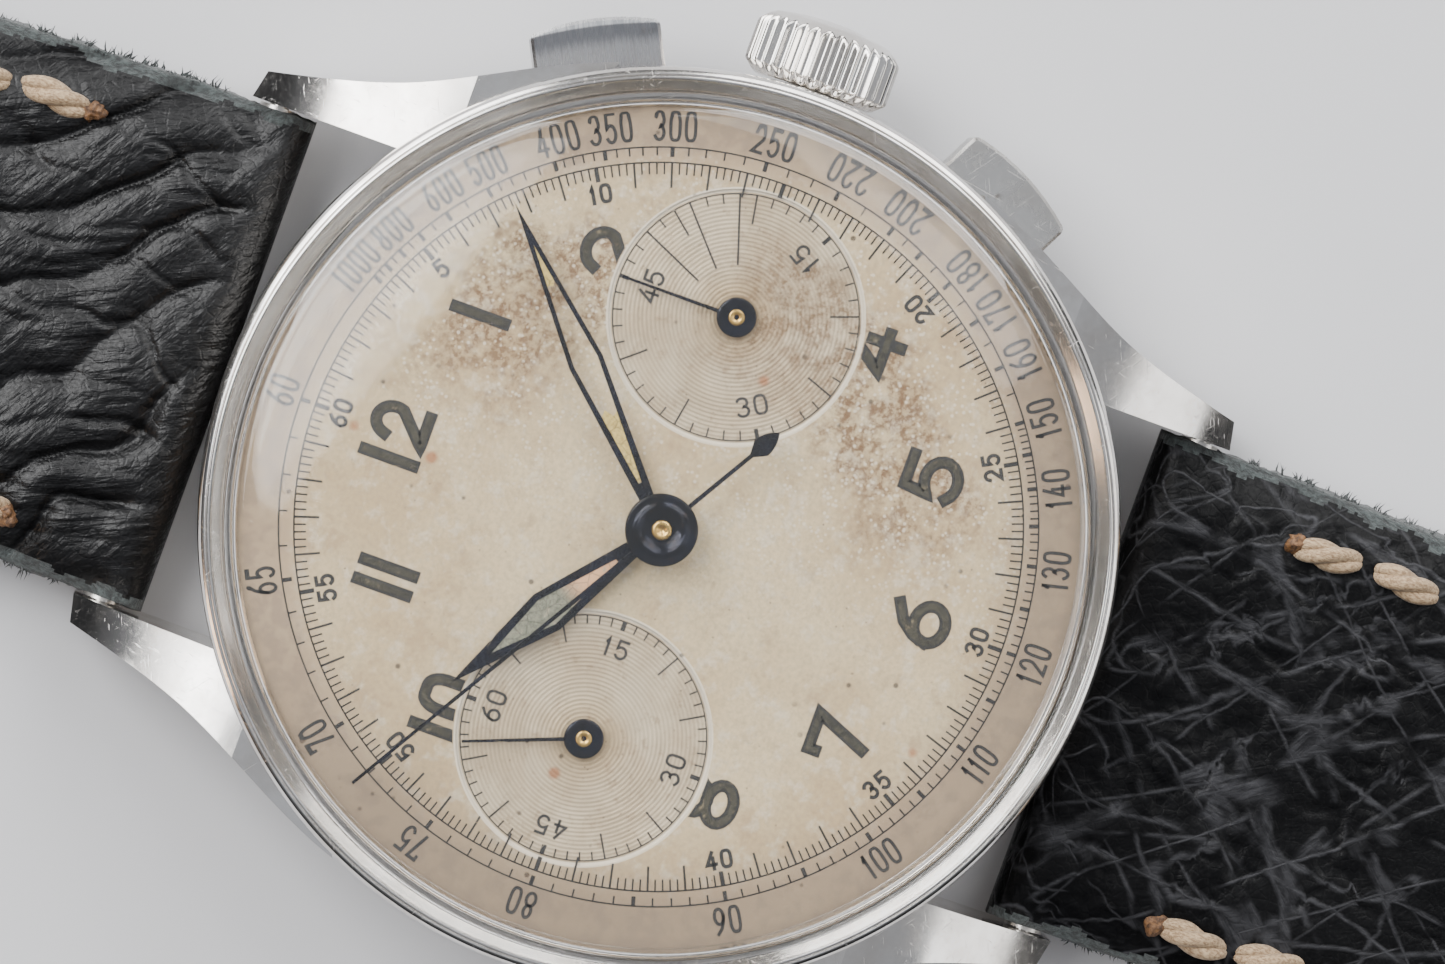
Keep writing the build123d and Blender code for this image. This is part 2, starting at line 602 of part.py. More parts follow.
# ---------------------------------------------------------------- ring jewels for the train's pivots
with BuildPart() as jewels:
    for place in JEWELLED:
        for low in (BRIDGE_TOP - 0.3, PLATE_LOW):
            disc(JEWEL_R, low, low + 0.3, place)
            disc(0.12, low, low + 0.3, place, mode=Mode.SUBTRACT)
jewels.part.label = "jewels"
export_step(jewels.part, "parts/jewels.step")

# ---------------------------------------------------------------- mainspring barrel
BARREL_PHASE = bearing(BARREL, CENTRE)
with BuildPart() as barrel:
    add(wheel(BARREL_TEETH, BARREL_MODULE, BARREL_PHASE, BARREL, 3.6, 4.0))
    disc(5.5, 3.6, 5.0, BARREL)
    disc(5.15, 3.8, 5.0, BARREL, mode=Mode.SUBTRACT)
    disc(0.48, 3.5, 4.0, BARREL, mode=Mode.SUBTRACT)
barrel.part.label = "barrel"
export_step(barrel.part, "parts/barrel.step")

with BuildPart() as barrel_lid:
    disc(5.15, 4.8, 5.0, BARREL)
    disc(0.48, 4.8, 5.0, BARREL, mode=Mode.SUBTRACT)
barrel_lid.part.label = "barrel_lid"
export_step(barrel_lid.part, "parts/barrel_lid.step")

mainspring = spiral(1.0, 5.0, 9, 0.14, BARREL, 3.85, 4.75)
mainspring.label = "mainspring"
export_step(mainspring, "parts/mainspring.step")

with BuildPart() as barrel_arbor:
    disc(0.45, WINDING_LOW, 6.1, BARREL)
    disc(0.9, 3.85, 4.75, BARREL)
barrel_arbor.part.label = "barrel_arbor"
export_step(barrel_arbor.part, "parts/barrel_arbor.step")

# ---------------------------------------------------------------- winding train on the barrel bridge
RATCHET_PHASE = bearing(BARREL, INTERMEDIATE)
INTERMEDIATE_PHASE = meshed(BARREL, INTERMEDIATE, RATCHET_TEETH, INTERMEDIATE_TEETH, RATCHET_PHASE)
CROWN_WHEEL_PHASE = meshed(
    INTERMEDIATE, CROWN_WHEEL, INTERMEDIATE_TEETH, CROWN_WHEEL_TEETH, INTERMEDIATE_PHASE
)
with BuildPart() as ratchet_wheel:
    add(wheel(RATCHET_TEETH, WINDING_MODULE, RATCHET_PHASE, BARREL, WINDING_LOW, WINDING_TOP))
    disc(0.45, WINDING_LOW, WINDING_TOP, BARREL, mode=Mode.SUBTRACT)
ratchet_wheel.part.label = "ratchet_wheel"
export_step(ratchet_wheel.part, "parts/ratchet_wheel.step")

with BuildPart() as intermediate_winding_wheel:
    add(wheel(INTERMEDIATE_TEETH, WINDING_MODULE, INTERMEDIATE_PHASE, INTERMEDIATE, WINDING_LOW, WINDING_TOP))
    disc(0.43, WINDING_LOW, WINDING_TOP, INTERMEDIATE, mode=Mode.SUBTRACT)
intermediate_winding_wheel.part.label = "intermediate_winding_wheel"
export_step(intermediate_winding_wheel.part, "parts/intermediate_winding_wheel.step")

with BuildPart() as crown_wheel:
    add(wheel(CROWN_WHEEL_TEETH, WINDING_MODULE, CROWN_WHEEL_PHASE, CROWN_WHEEL, WINDING_LOW, WINDING_TOP))
    disc(0.43, WINDING_LOW, WINDING_TOP, CROWN_WHEEL, mode=Mode.SUBTRACT)
crown_wheel.part.label = "crown_wheel"
export_step(crown_wheel.part, "parts/crown_wheel.step")

# click: a pivoted pawl whose beak lies just outside the ratchet wheel's teeth
CLICK = polar(6.6, 150, BARREL)
with BuildPart() as click:
    with BuildSketch(Plane((CLICK[0], CLICK[1], WINDING_LOW), x_dir=(cos(radians(60)), sin(radians(60)), 0))):
        Circle(0.7)
        with BuildLine():
            Polyline((0, -0.6), (2.3, -1.05), (2.5, -0.7), (0.4, 0.6), (0, 0.6), close=True)
        make_face()
    extrude(amount=WINDING_TOP - WINDING_LOW)
click.part.label = "click"
export_step(click.part, "parts/click.step")

# ---------------------------------------------------------------- going train
CENTRE_PINION_PHASE = meshed(BARREL, CENTRE, BARREL_TEETH, CENTRE_PINION_TEETH, BARREL_PHASE)
CENTRE_PHASE = bearing(CENTRE, THIRD)
THIRD_PINION_PHASE = meshed(CENTRE, THIRD, CENTRE_TEETH, THIRD_PINION_TEETH, CENTRE_PHASE)
THIRD_PHASE = bearing(THIRD, SECONDS)
FOURTH_PINION_PHASE = meshed(THIRD, SECONDS, THIRD_TEETH, FOURTH_PINION_TEETH, THIRD_PHASE)
FOURTH_PHASE = bearing(SECONDS, ESCAPE)
ESCAPE_PINION_PHASE = meshed(SECONDS, ESCAPE, FOURTH_TEETH, ESCAPE_PINION_TEETH, FOURTH_PHASE)
CANNON_PHASE = bearing(CENTRE, MINUTE_WHEEL)
MINUTE_WHEEL_PHASE = meshed(CENTRE, MINUTE_WHEEL, CANNON_TEETH, MINUTE_WHEEL_TEETH, CANNON_PHASE)
MINUTE_PINION_PHASE = bearing(MINUTE_WHEEL, CENTRE)
HOUR_WHEEL_PHASE = meshed(MINUTE_WHEEL, CENTRE, MINUTE_PINION_TEETH, HOUR_WHEEL_TEETH, MINUTE_PINION_PHASE)

with BuildPart() as centre_wheel:
    add(wheel(CENTRE_TEETH, TRAIN_MODULE, CENTRE_PHASE, CENTRE, 5.15, 5.35, spokes=5))
    add(wheel(CENTRE_PINION_TEETH, BARREL_MODULE, CENTRE_PINION_PHASE, CENTRE, 3.55, 4.1))
    disc(0.4, 2.85, 3.6)
    disc(0.55, 4.0, 5.45)
    disc(0.32, 5.4, 7.3)
    disc(0.2, 2.8, 7.4, mode=Mode.SUBTRACT)
centre_wheel.part.label = "centre_wheel"
export_step(centre_wheel.part, "parts/centre_wheel.step")

with BuildPart() as third_wheel:
    add(wheel(THIRD_TEETH, TRAIN_MODULE, THIRD_PHASE, THIRD, 4.5, 4.7, spokes=5))
    add(wheel(THIRD_PINION_TEETH, TRAIN_MODULE, THIRD_PINION_PHASE, THIRD, 5.05, 5.45))
    disc(0.25, 3.55, 5.1, THIRD)
    disc(0.1, 3.25, 5.75, THIRD)
third_wheel.part.label = "third_wheel"
export_step(third_wheel.part, "parts/third_wheel.step")

with BuildPart() as fourth_wheel:
    add(wheel(FOURTH_TEETH, ESCAPE_MODULE, FOURTH_PHASE, SECONDS, 3.9, 4.1, spokes=5))
    add(wheel(FOURTH_PINION_TEETH, TRAIN_MODULE, FOURTH_PINION_PHASE, SECONDS, 4.4, 4.8))
    disc(0.3, 3.55, 5.4, SECONDS)
    disc(0.15, 1.4, 7.8, SECONDS)
    # driving wheel of the chronograph, on the arbor's back end
    disc(3.0, WORKS_LOW, WORKS_TOP, SECONDS)
fourth_wheel.part.label = "fourth_wheel"
export_step(fourth_wheel.part, "parts/fourth_wheel.step")

# escape wheel: fifteen pointed teeth on a light rim
with BuildPart() as escape_wheel:
    tooth_points = []
    for tooth in range(ESCAPE_TEETH):
        for share, radius in ((0.0, 1.55), (0.28, 2.1), (0.34, 2.08), (0.42, 1.55)):
            tooth_points.append(polar(radius, (tooth + share) * 360 / ESCAPE_TEETH, ESCAPE))
    with BuildSketch(Plane.XY.offset(4.95)):
        with BuildLine():
            Polyline(*tooth_points, close=True)
        make_face()
        with Locations(ESCAPE):
            with PolarLocations(0.85, 4):
                Circle(0.42, mode=Mode.SUBTRACT)
    extrude(amount=0.2)
    add(wheel(ESCAPE_PINION_TEETH, ESCAPE_MODULE, ESCAPE_PINION_PHASE, ESCAPE, 3.8, 4.2))
    disc(0.2, 3.55, 5.45, ESCAPE)
    disc(0.1, 3.25, 5.75, ESCAPE)
escape_wheel.part.label = "escape_wheel"
export_step(escape_wheel.part, "parts/escape_wheel.step")

# pallet fork: two arms that straddle the escape wheel and a forked lever towards the balance
FORK_PLANE = Plane((PALLET[0], PALLET[1], 4.95), x_dir=(BALANCE[0] - PALLET[0], BALANCE[1] - PALLET[1], 0))
with BuildPart() as pallet_fork:
    with BuildSketch(FORK_PLANE):
        Circle(0.4)
        with BuildLine():
            Polyline((0, -0.2), (3.0, -0.12), (3.0, 0.12), (0, 0.2), close=True)
        make_face()
        with BuildLine():
            Polyline((2.8, -0.12), (3.15, -0.42), (3.5, -0.42), (3.5, -0.12), (3.2, -0.12), (3.2, 0.12),
                     (3.5, 0.12), (3.5, 0.42), (3.15, 0.42), (2.8, 0.12), close=True)
        make_face()
        with BuildLine():
            Polyline((0.1, 0.35), (-0.55, 1.62), (-0.85, 1.5), (-0.3, 0), (-0.85, -1.5), (-0.55, -1.62),
                     (0.1, -0.35), close=True)
        make_face()
    extrude(amount=0.2)
    disc(0.2, 3.55, 5.45, PALLET)
    disc(0.1, 3.25, 5.75, PALLET)
pallet_fork.part.label = "pallet_fork"
export_step(pallet_fork.part, "parts/pallet_fork.step")

# balance wheel: rim, two arms, staff, roller table and impulse pin
BALANCE_R = 3.5
with BuildPart() as balance_wheel:
    with BuildSketch(Plane((BALANCE[0], BALANCE[1], 4.0))):
        Circle(BALANCE_R)
        Circle(BALANCE_R - 0.45, mode=Mode.SUBTRACT)
        Rectangle(2 * BALANCE_R - 0.4, 0.4)
        Circle(0.6)
    extrude(amount=0.35)
    disc(0.22, 3.55, 5.45, BALANCE)
    disc(0.1, 3.25, 5.75, BALANCE)
    disc(0.62, 4.6, 4.85, BALANCE)
    disc(0.07, 4.8, 5.12, polar(0.5, bearing(BALANCE, PALLET), BALANCE))
balance_wheel.part.label = "balance_wheel"
export_step(balance_wheel.part, "parts/balance_wheel.step")

hairspring = spiral(0.4, 1.9, 8, 0.05, BALANCE, 3.65, 3.85)
hairspring.label = "hairspring"
export_step(hairspring, "parts/hairspring.step")

# ---------------------------------------------------------------- motion work under the dial
with BuildPart() as cannon_pinion:
    module = 2 * MOTION_DISTANCE / (CANNON_TEETH + MINUTE_WHEEL_TEETH)
    add(wheel(CANNON_TEETH, module, CANNON_PHASE, CENTRE, 6.48, 6.8))
    disc(0.48, 6.48, 8.55)
    disc(0.32, 6.4, 7.3, mode=Mode.SUBTRACT)
    disc(0.2, 6.4, 8.6, mode=Mode.SUBTRACT)
cannon_pinion.part.label = "cannon_pinion"
export_step(cannon_pinion.part, "parts/cannon_pinion.step")

with BuildPart() as minute_wheel:
    add(
        wheel(
            MINUTE_WHEEL_TEETH,
            2 * MOTION_DISTANCE / (CANNON_TEETH + MINUTE_WHEEL_TEETH),
            MINUTE_WHEEL_PHASE,
            MINUTE_WHEEL,
            6.5,
            6.78,
        )
    )
    add(wheel(MINUTE_PINION_TEETH, TRAIN_MODULE, MINUTE_PINION_PHASE, MINUTE_WHEEL, 6.78, 7.12))
minute_wheel.part.label = "minute_wheel"
export_step(minute_wheel.part, "parts/minute_wheel.step")

with BuildPart() as hour_wheel:
    add(wheel(HOUR_WHEEL_TEETH, TRAIN_MODULE, HOUR_WHEEL_PHASE, CENTRE, 6.86, 7.1))
    disc(0.75, 6.86, 8.1)
    disc(0.52, 6.8, 8.2, mode=Mode.SUBTRACT)
hour_wheel.part.label = "hour_wheel"
export_step(hour_wheel.part, "parts/hour_wheel.step")


# ---------------------------------------------------------------- keyless work on the stem's axis
def along_stem(rod_r, start, end, mode=Mode.ADD):
    """Cylinder on the winding stem's axis."""
    radial_rod(rod_r, start, end, 0, STEM_Z, mode)


with BuildPart() as winding_stem:
    along_stem(0.3, 9.0, 10.3)
    block((10.2, 11.9), (-0.35, 0.35), (STEM_Z - 0.35, STEM_Z + 0.35))
    along_stem(0.5, 11.85, 13.3)
    along_stem(0.3, 13.2, 13.7)
    along_stem(0.5, 13.62, CROWN_OUT - 1.2)
winding_stem.part.label = "winding_stem"
export_step(winding_stem.part, "parts/winding_stem.step")

with BuildPart() as winding_pinion:
    with BuildSketch(Plane((11.9, 0, STEM_Z), x_dir=(0, 1, 0), z_dir=(1, 0, 0))):
        add(toothed_outline(WINDING_PINION_TEETH, WINDING_PINION_MODULE, 90 + 180 / WINDING_PINION_TEETH))
    extrude(amount=1.25)
    along_stem(0.54, 11.8, 13.3, mode=Mode.SUBTRACT)
winding_pinion.part.label = "winding_pinion"
export_step(winding_pinion.part, "parts/winding_pinion.step")

with BuildPart() as clutch:
    along_stem(1.1, 10.45, 11.85)
    along_stem(1.2, 10.98, 11.42, mode=Mode.SUBTRACT)
    along_stem(0.75, 10.9, 11.5)
    along_stem(0.53, 10.4, 11.9, mode=Mode.SUBTRACT)
clutch.part.label = "clutch"
export_step(clutch.part, "parts/clutch.step")

with BuildPart() as setting_lever:
    block((13.34, 13.58), (0.33, 1.9), (STEM_Z - 0.25, STEM_Z + 0.25))
setting_lever.part.label = "setting_lever"
export_step(setting_lever.part, "parts/setting_lever.step")

with BuildPart() as yoke:
    block((11.08, 11.32), (0.79, 2.4), (STEM_Z - 0.2, STEM_Z + 0.2))
    block((10.7, 11.7), (2.0, 2.4), (STEM_Z - 0.2, STEM_Z + 0.2))
yoke.part.label = "yoke"
export_step(yoke.part, "parts/yoke.step")

# ---------------------------------------------------------------- chronograph work under the case back
with BuildPart() as chronograph_runner:
    disc(3.0, WORKS_LOW, WORKS_TOP)
    disc(0.16, 1.3, 9.12)
    # heart cam and the finger that steps the minute register
    with BuildSketch(Plane.XY.offset(WORKS_TOP)):
        with BuildLine():
            Spline((0, 0.35), (0.75, 0.6), (0.8, -0.2), (0, -1.0))
            Spline((0, -1.0), (-0.8, -0.2), (-0.75, 0.6), (0, 0.35))
        make_face()
    extrude(amount=0.25)
    block((0.1, 3.15), (-0.09, 0.09), (2.05, 2.2))
chronograph_runner.part.label = "chronograph_runner"
export_step(chronograph_runner.part, "parts/chronograph_runner.step")

with BuildPart() as coupling_wheel:
    disc(1.2, WORKS_LOW, WORKS_TOP, COUPLING)
    disc(0.18, WORKS_LOW, WORKS_TOP, COUPLING, mode=Mode.SUBTRACT)
coupling_wheel.part.label = "coupling_wheel"
export_step(coupling_wheel.part, "parts/coupling_wheel.step")

with BuildPart() as minute_counting_wheel:
    add(wheel(45, 0.1, 0, COUNTER, WORKS_LOW, WORKS_TOP))
    disc(0.15, 1.4, 7.8, COUNTER)
    disc(0.7, WORKS_TOP, 2.1, polar(0.25, 90, COUNTER))
minute_counting_wheel.part.label = "minute_counting_wheel"
export_step(minute_counting_wheel.part, "parts/minute_counting_wheel.step")

with BuildPart() as column_wheel:
    add(wheel(12, 0.28, 0, COLUMN_WHEEL, 2.0, 2.3))
    with BuildSketch(Plane((COLUMN_WHEEL[0], COLUMN_WHEEL[1], 1.4))):
        with PolarLocations(1.15, 6):
            Rectangle(0.5, 0.5)
    extrude(amount=0.65)
    disc(0.38, 1.3, 2.4, COLUMN_WHEEL, mode=Mode.SUBTRACT)
column_wheel.part.label = "column_wheel"
export_step(column_wheel.part, "parts/column_wheel.step")


def lever(pivot, tab_angle, arm_end, bore_r):
    """Flat lever from its pivot to a bent tab in front of a pusher, with a second arm."""
    tab = polar(13.38, tab_angle)
    # the tab stands off the pusher's centre line, clear of the column wheel
    lean = copysign(0.35, -tab_angle)
    tab_place = (tab[0] - lean * sin(radians(tab_angle)), tab[1] + lean * cos(radians(tab_angle)))
    with BuildPart() as made:
        with BuildSketch(Plane.XY.offset(WORKS_LOW)):
            for end, shortened, wide in ((tab, 0.5, 0.7), (arm_end, 0.0, 0.6)):
                middle = ((pivot[0] + end[0]) / 2, (pivot[1] + end[1]) / 2, 0)
                with Locations(Location(middle, (0, 0, bearing(pivot, end)))):
                    SlotCenterToCenter(hypot(end[0] - pivot[0], end[1] - pivot[1]) - shortened, wide)
            with Locations(pivot):
                Circle(0.7)
                Circle(bore_r, mode=Mode.SUBTRACT)
        extrude(amount=0.35)
        with Locations(Location((*tab_place, WORKS_LOW), (0, 0, tab_angle))):
            Box(0.3, 0.9, 3.2, align=(Align.CENTER, Align.CENTER, Align.MIN))
    return made.part


operating_lever = lever(START_LEVER, PUSHER_ANGLE, (11.7, 5.1), 0.33)
operating_lever.label = "operating_lever"
export_step(operating_lever, "parts/operating_lever.step")
reset_hammer = lever(HAMMER, -PUSHER_ANGLE, (4.4, -5.6), 0.33)
reset_hammer.label = "reset_hammer"
export_step(reset_hammer, "parts/reset_hammer.step")

# ---------------------------------------------------------------- spring bars between the lugs
with BuildPart() as spring_bars:
    for side in (-1, 1):
        with Locations(Location((0, side * BAR_Y, BAR_Z), (0, 90, 0))):
            Cylinder(BAR_R, BAR_BODY)
            Cylinder(BAR_TIP_R, BAR_SPAN)
spring_bars.part.label = "spring_bars"
export_step(spring_bars.part, "parts/spring_bars.step")

# ---------------------------------------------------------------- strap, both halves
BUCKLE_Y = BAR_Y + BUCKLE_HALF
BUCKLE_Z = 2.3
BUCKLE_BAR_R = 0.65
BUCKLE_LOOP_R = 1.2
TIP_Y = BAR_Y + HOLE_HALF
KEEPER_REST = 1.1
BUCKLE_TOP = ((BAR_Y, BAR_Z + LOOP_R), (24, 4.0), (40, 3.2), (60, 2.9), (76, BUCKLE_Z + BUCKLE_LOOP_R))
BUCKLE_FLOOR = ((76, KEEPER_REST), (60, 0.15), (45, 0.02), (30, 0.1), (23.5, 0.5), (BAR_Y, BAR_Z - LOOP_R))
HOLE_TOP = ((BAR_Y, BAR_Z + LOOP_R), (24, 4.0), (40, 3.3), (70, 2.7), (TIP_Y, 2.2))
HOLE_FLOOR = ((60, 0.02), (45, 0.02), (30, 0.1), (23.5, 0.5), (BAR_Y, BAR_Z - LOOP_R))


def strap_blank(top, floor, end_low, end_high, end_y):
    """Side profile of a strap half from its spring bar outwards, extruded over the full width."""
    with BuildPart() as made:
        with BuildSketch(Plane.YZ.offset(-STRAP_WIDE / 2)):
            with BuildLine():
                Spline(*top)
                if top[-1][0] < end_y:
                    Line(top[-1], (end_y, end_high))
                Line((end_y, end_high), (end_y, end_low))
                Line((end_y, end_low), floor[0])
                Spline(*floor)
                Line(floor[-1], top[0])
            make_face()
            with Locations((BAR_Y, BAR_Z)):
                Circle(LOOP_R)
                Circle(LOOP_BORE, mode=Mode.SUBTRACT)
        extrude(amount=STRAP_WIDE)
    return made.part


def lining_region(floor, start_y, end_y, end_low):
    """Everything below the line where the upper leather meets the lining."""
    upper = [(y, z + LINING) for y, z in reversed(floor) if y > start_y]
    with BuildPart() as made:
        with BuildSketch(Plane.YZ.offset(-STRAP_WIDE / 2)):
            with BuildLine():
                Line((start_y, -1.0), (start_y, 0.65 + LINING))
                Spline((start_y, 0.65 + LINING), *upper)
                Line(upper[-1], (end_y, end_low + LINING))
                Line((end_y, end_low + LINING), (end_y, -1.0))
                Line((end_y, -1.0), (start_y, -1.0))
            make_face()
        extrude(amount=STRAP_WIDE)
    return made.part


buckle_blank = strap_blank(BUCKLE_TOP, BUCKLE_FLOOR, KEEPER_REST, BUCKLE_Z + BUCKLE_LOOP_R, BUCKLE_Y)
buckle_lining_region = lining_region(BUCKLE_FLOOR, 23.0, 88.0, KEEPER_REST)
hole_blank = strap_blank(HOLE_TOP, HOLE_FLOOR, 0.02, 2.2, TIP_Y)
hole_lining_region = lining_region(HOLE_FLOOR, 23.0, TIP_Y - 3.0, 0.02)


def trim_buckle_half(half):
    """Taper, buckle loop and tongue slot of the buckle half, cut from the extruded profile."""
    with BuildPart() as made:
        add(half)
        with Locations((0, BUCKLE_Y, BUCKLE_Z)):
            Cylinder(BUCKLE_LOOP_R, STRAP_NARROW, rotation=(0, 90, 0))
            Cylinder(BUCKLE_BAR_R + 0.1, STRAP_WIDE, rotation=(0, 90, 0), mode=Mode.SUBTRACT)
        with BuildSketch(Plane.XY.offset(-1.0)):
            with BuildLine():
                Polyline(
                    (-STRAP_WIDE / 2, 17.0),
                    (STRAP_WIDE / 2, 17.0),
                    (STRAP_WIDE / 2, 22.0),
                    (STRAP_NARROW / 2, 72.0),
                    (STRAP_NARROW / 2, 97.0),
                    (-STRAP_NARROW / 2, 97.0),
                    (-STRAP_NARROW / 2, 72.0),
                    (-STRAP_WIDE / 2, 22.0),
                    close=True,
                )
            make_face()
        extrude(amount=8.0, mode=Mode.INTERSECT)
        block((-1.3, 1.3), (BUCKLE_Y - 4.5, BUCKLE_Y + 2.0), (-1.0, 6.0), mode=Mode.SUBTRACT)
    return made.part


def trim_hole_half(half):
    """Taper, rounded tip and buckle holes of the long half, turned to the 6 o'clock side."""
    with BuildPart() as made:
        add(half)
        with BuildSketch(Plane.XY.offset(-1.0)):
            with BuildLine():
                Line((-STRAP_WIDE / 2, 17.0), (STRAP_WIDE / 2, 17.0))
                Line((STRAP_WIDE / 2, 17.0), (STRAP_WIDE / 2, 22.0))
                Line((STRAP_WIDE / 2, 22.0), (STRAP_NARROW / 2, 90.0))
                Line((STRAP_NARROW / 2, 90.0), (STRAP_NARROW / 2, TIP_Y - 9.0))
                ThreePointArc((STRAP_NARROW / 2, TIP_Y - 9.0), (5.2, TIP_Y - 2.8), (0, TIP_Y))
                ThreePointArc((0, TIP_Y), (-5.2, TIP_Y - 2.8), (-STRAP_NARROW / 2, TIP_Y - 9.0))
                Line((-STRAP_NARROW / 2, TIP_Y - 9.0), (-STRAP_NARROW / 2, 90.0))
                Line((-STRAP_NARROW / 2, 90.0), (-STRAP_WIDE / 2, 22.0))
                Line((-STRAP_WIDE / 2, 22.0), (-STRAP_WIDE / 2, 17.0))
            make_face()
        extrude(amount=8.0, mode=Mode.INTERSECT)
        for hole in range(STRAP_HOLES):
            disc(0.9, -1.0, 6.0, (0, TIP_Y - 24.0 - hole * STRAP_HOLE_PITCH), mode=Mode.SUBTRACT)
    return made.part.moved(Location((0, 0, 0), (0, 0, 180)))


with BuildPart() as buckle_upper_blank:
    add(buckle_blank)
    add(buckle_lining_region, mode=Mode.SUBTRACT)
strap_buckle_half = trim_buckle_half(buckle_upper_blank.part)
strap_buckle_half.label = "strap_buckle_half"
export_step(strap_buckle_half, "parts/strap_buckle_half.step")

with BuildPart() as strap_buckle_lining:
    add(trim_buckle_half(buckle_blank))
    add(buckle_lining_region, mode=Mode.INTERSECT)
strap_buckle_lining.part.label = "strap_buckle_lining"
export_step(strap_buckle_lining.part, "parts/strap_buckle_lining.step")

with BuildPart() as hole_upper_blank:
    add(hole_blank)
    add(hole_lining_region, mode=Mode.SUBTRACT)
strap_hole_half = trim_hole_half(hole_upper_blank.part)
strap_hole_half.label = "strap_hole_half"
export_step(strap_hole_half, "parts/strap_hole_half.step")

with BuildPart() as hole_lining_blank:
    add(hole_blank)
    add(hole_lining_region, mode=Mode.INTERSECT)
strap_hole_lining = trim_hole_half(hole_lining_blank.part)
strap_hole_lining.label = "strap_hole_lining"
export_step(strap_hole_lining, "parts/strap_hole_lining.step")


# ---------------------------------------------------------------- leather keepers on the buckle half
def keeper(centre_y, gap):
    """Leather band round the strap, with room above it for the other strap half."""
    inner_wide = STRAP_NARROW + 2 * gap
    inner_low = KEEPER_REST - gap
    inner_high = BUCKLE_Z + BUCKLE_LOOP_R + 2.8
    wall = 1.0
    with BuildPart() as made:
        with BuildSketch(Plane.XZ.offset(-centre_y - 2.5)):
            with Locations((0, (inner_low + inner_high) / 2)):
                RectangleRounded(inner_wide + 2 * wall, inner_high - inner_low + 2 * wall, 1.2)
                Rectangle(inner_wide, inner_high - inner_low, mode=Mode.SUBTRACT)
        extrude(amount=5.0)
    return made.part


fixed_keeper = keeper(BUCKLE_Y - 8.5, 0.0)
fixed_keeper.label = "fixed_keeper"
export_step(fixed_keeper, "parts/fixed_keeper.step")
sliding_keeper = keeper(BUCKLE_Y - 15.0, 0.08)
sliding_keeper.label = "sliding_keeper"
export_step(sliding_keeper, "parts/sliding_keeper.step")

# ---------------------------------------------------------------- pin buckle
BUCKLE_INNER = 17.2
BUCKLE_OUTER = 20.4
BUCKLE_LENGTH = 10.0
FRAME_R = 0.9
BUCKLE_TILT = -degrees(atan2(BUCKLE_Z - FRAME_R, BUCKLE_LENGTH))
with BuildPart() as buckle_level:
    with Locations((0, 0, 0)):
        Cylinder(BUCKLE_BAR_R, BUCKLE_OUTER - 1.0, rotation=(0, 90, 0))
    with Locations((0, BUCKLE_LENGTH, 0)):
        Cylinder(FRAME_R, BUCKLE_OUTER - 2.0, rotation=(0, 90, 0))
    for side in (-1, 1):
        block(
            (side * (BUCKLE_INNER + BUCKLE_OUTER) / 4 - 0.8, side * (BUCKLE_INNER + BUCKLE_OUTER) / 4 + 0.8),
            (-1.0, BUCKLE_LENGTH),
            (-FRAME_R + 0.1, FRAME_R),
        )
buckle_frame = buckle_level.part.moved(Location((0, BUCKLE_Y, BUCKLE_Z), (BUCKLE_TILT, 0, 0)))
buckle_frame.label = "buckle_frame"
export_step(buckle_frame, "parts/buckle_frame.step")

with BuildPart() as tongue_level:
    with Locations((0, 0, 0)):
        Cylinder(1.1, 1.7, rotation=(0, 90, 0))
    block((-0.65, 0.65), (0.2, BUCKLE_LENGTH + 1.0), (FRAME_R + 0.04, FRAME_R + 0.9))
    block((-0.65, 0.65), (0.0, 1.1), (0.0, FRAME_R + 0.9))
    with Locations((0, 0, 0)):
        Cylinder(BUCKLE_BAR_R + 0.05, 3.0, rotation=(0, 90, 0), mode=Mode.SUBTRACT)
buckle_tongue = tongue_level.part.moved(Location((0, BUCKLE_Y, BUCKLE_Z), (BUCKLE_TILT, 0, 0)))
buckle_tongue.label = "buckle_tongue"
export_step(buckle_tongue, "parts/buckle_tongue.step")

# ---------------------------------------------------------------- joint places for the record
print("third", THIRD, "escape", ESCAPE, "pallet", PALLET, "balance", BALANCE)
print("barrel", BARREL, "intermediate", INTERMEDIATE, "click", CLICK)
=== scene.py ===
"""Looks of a two-register chronograph wristwatch on a leather strap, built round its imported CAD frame."""

import json
import math

import bmesh
import bpy
import numpy as np
from mathutils import Matrix, Vector

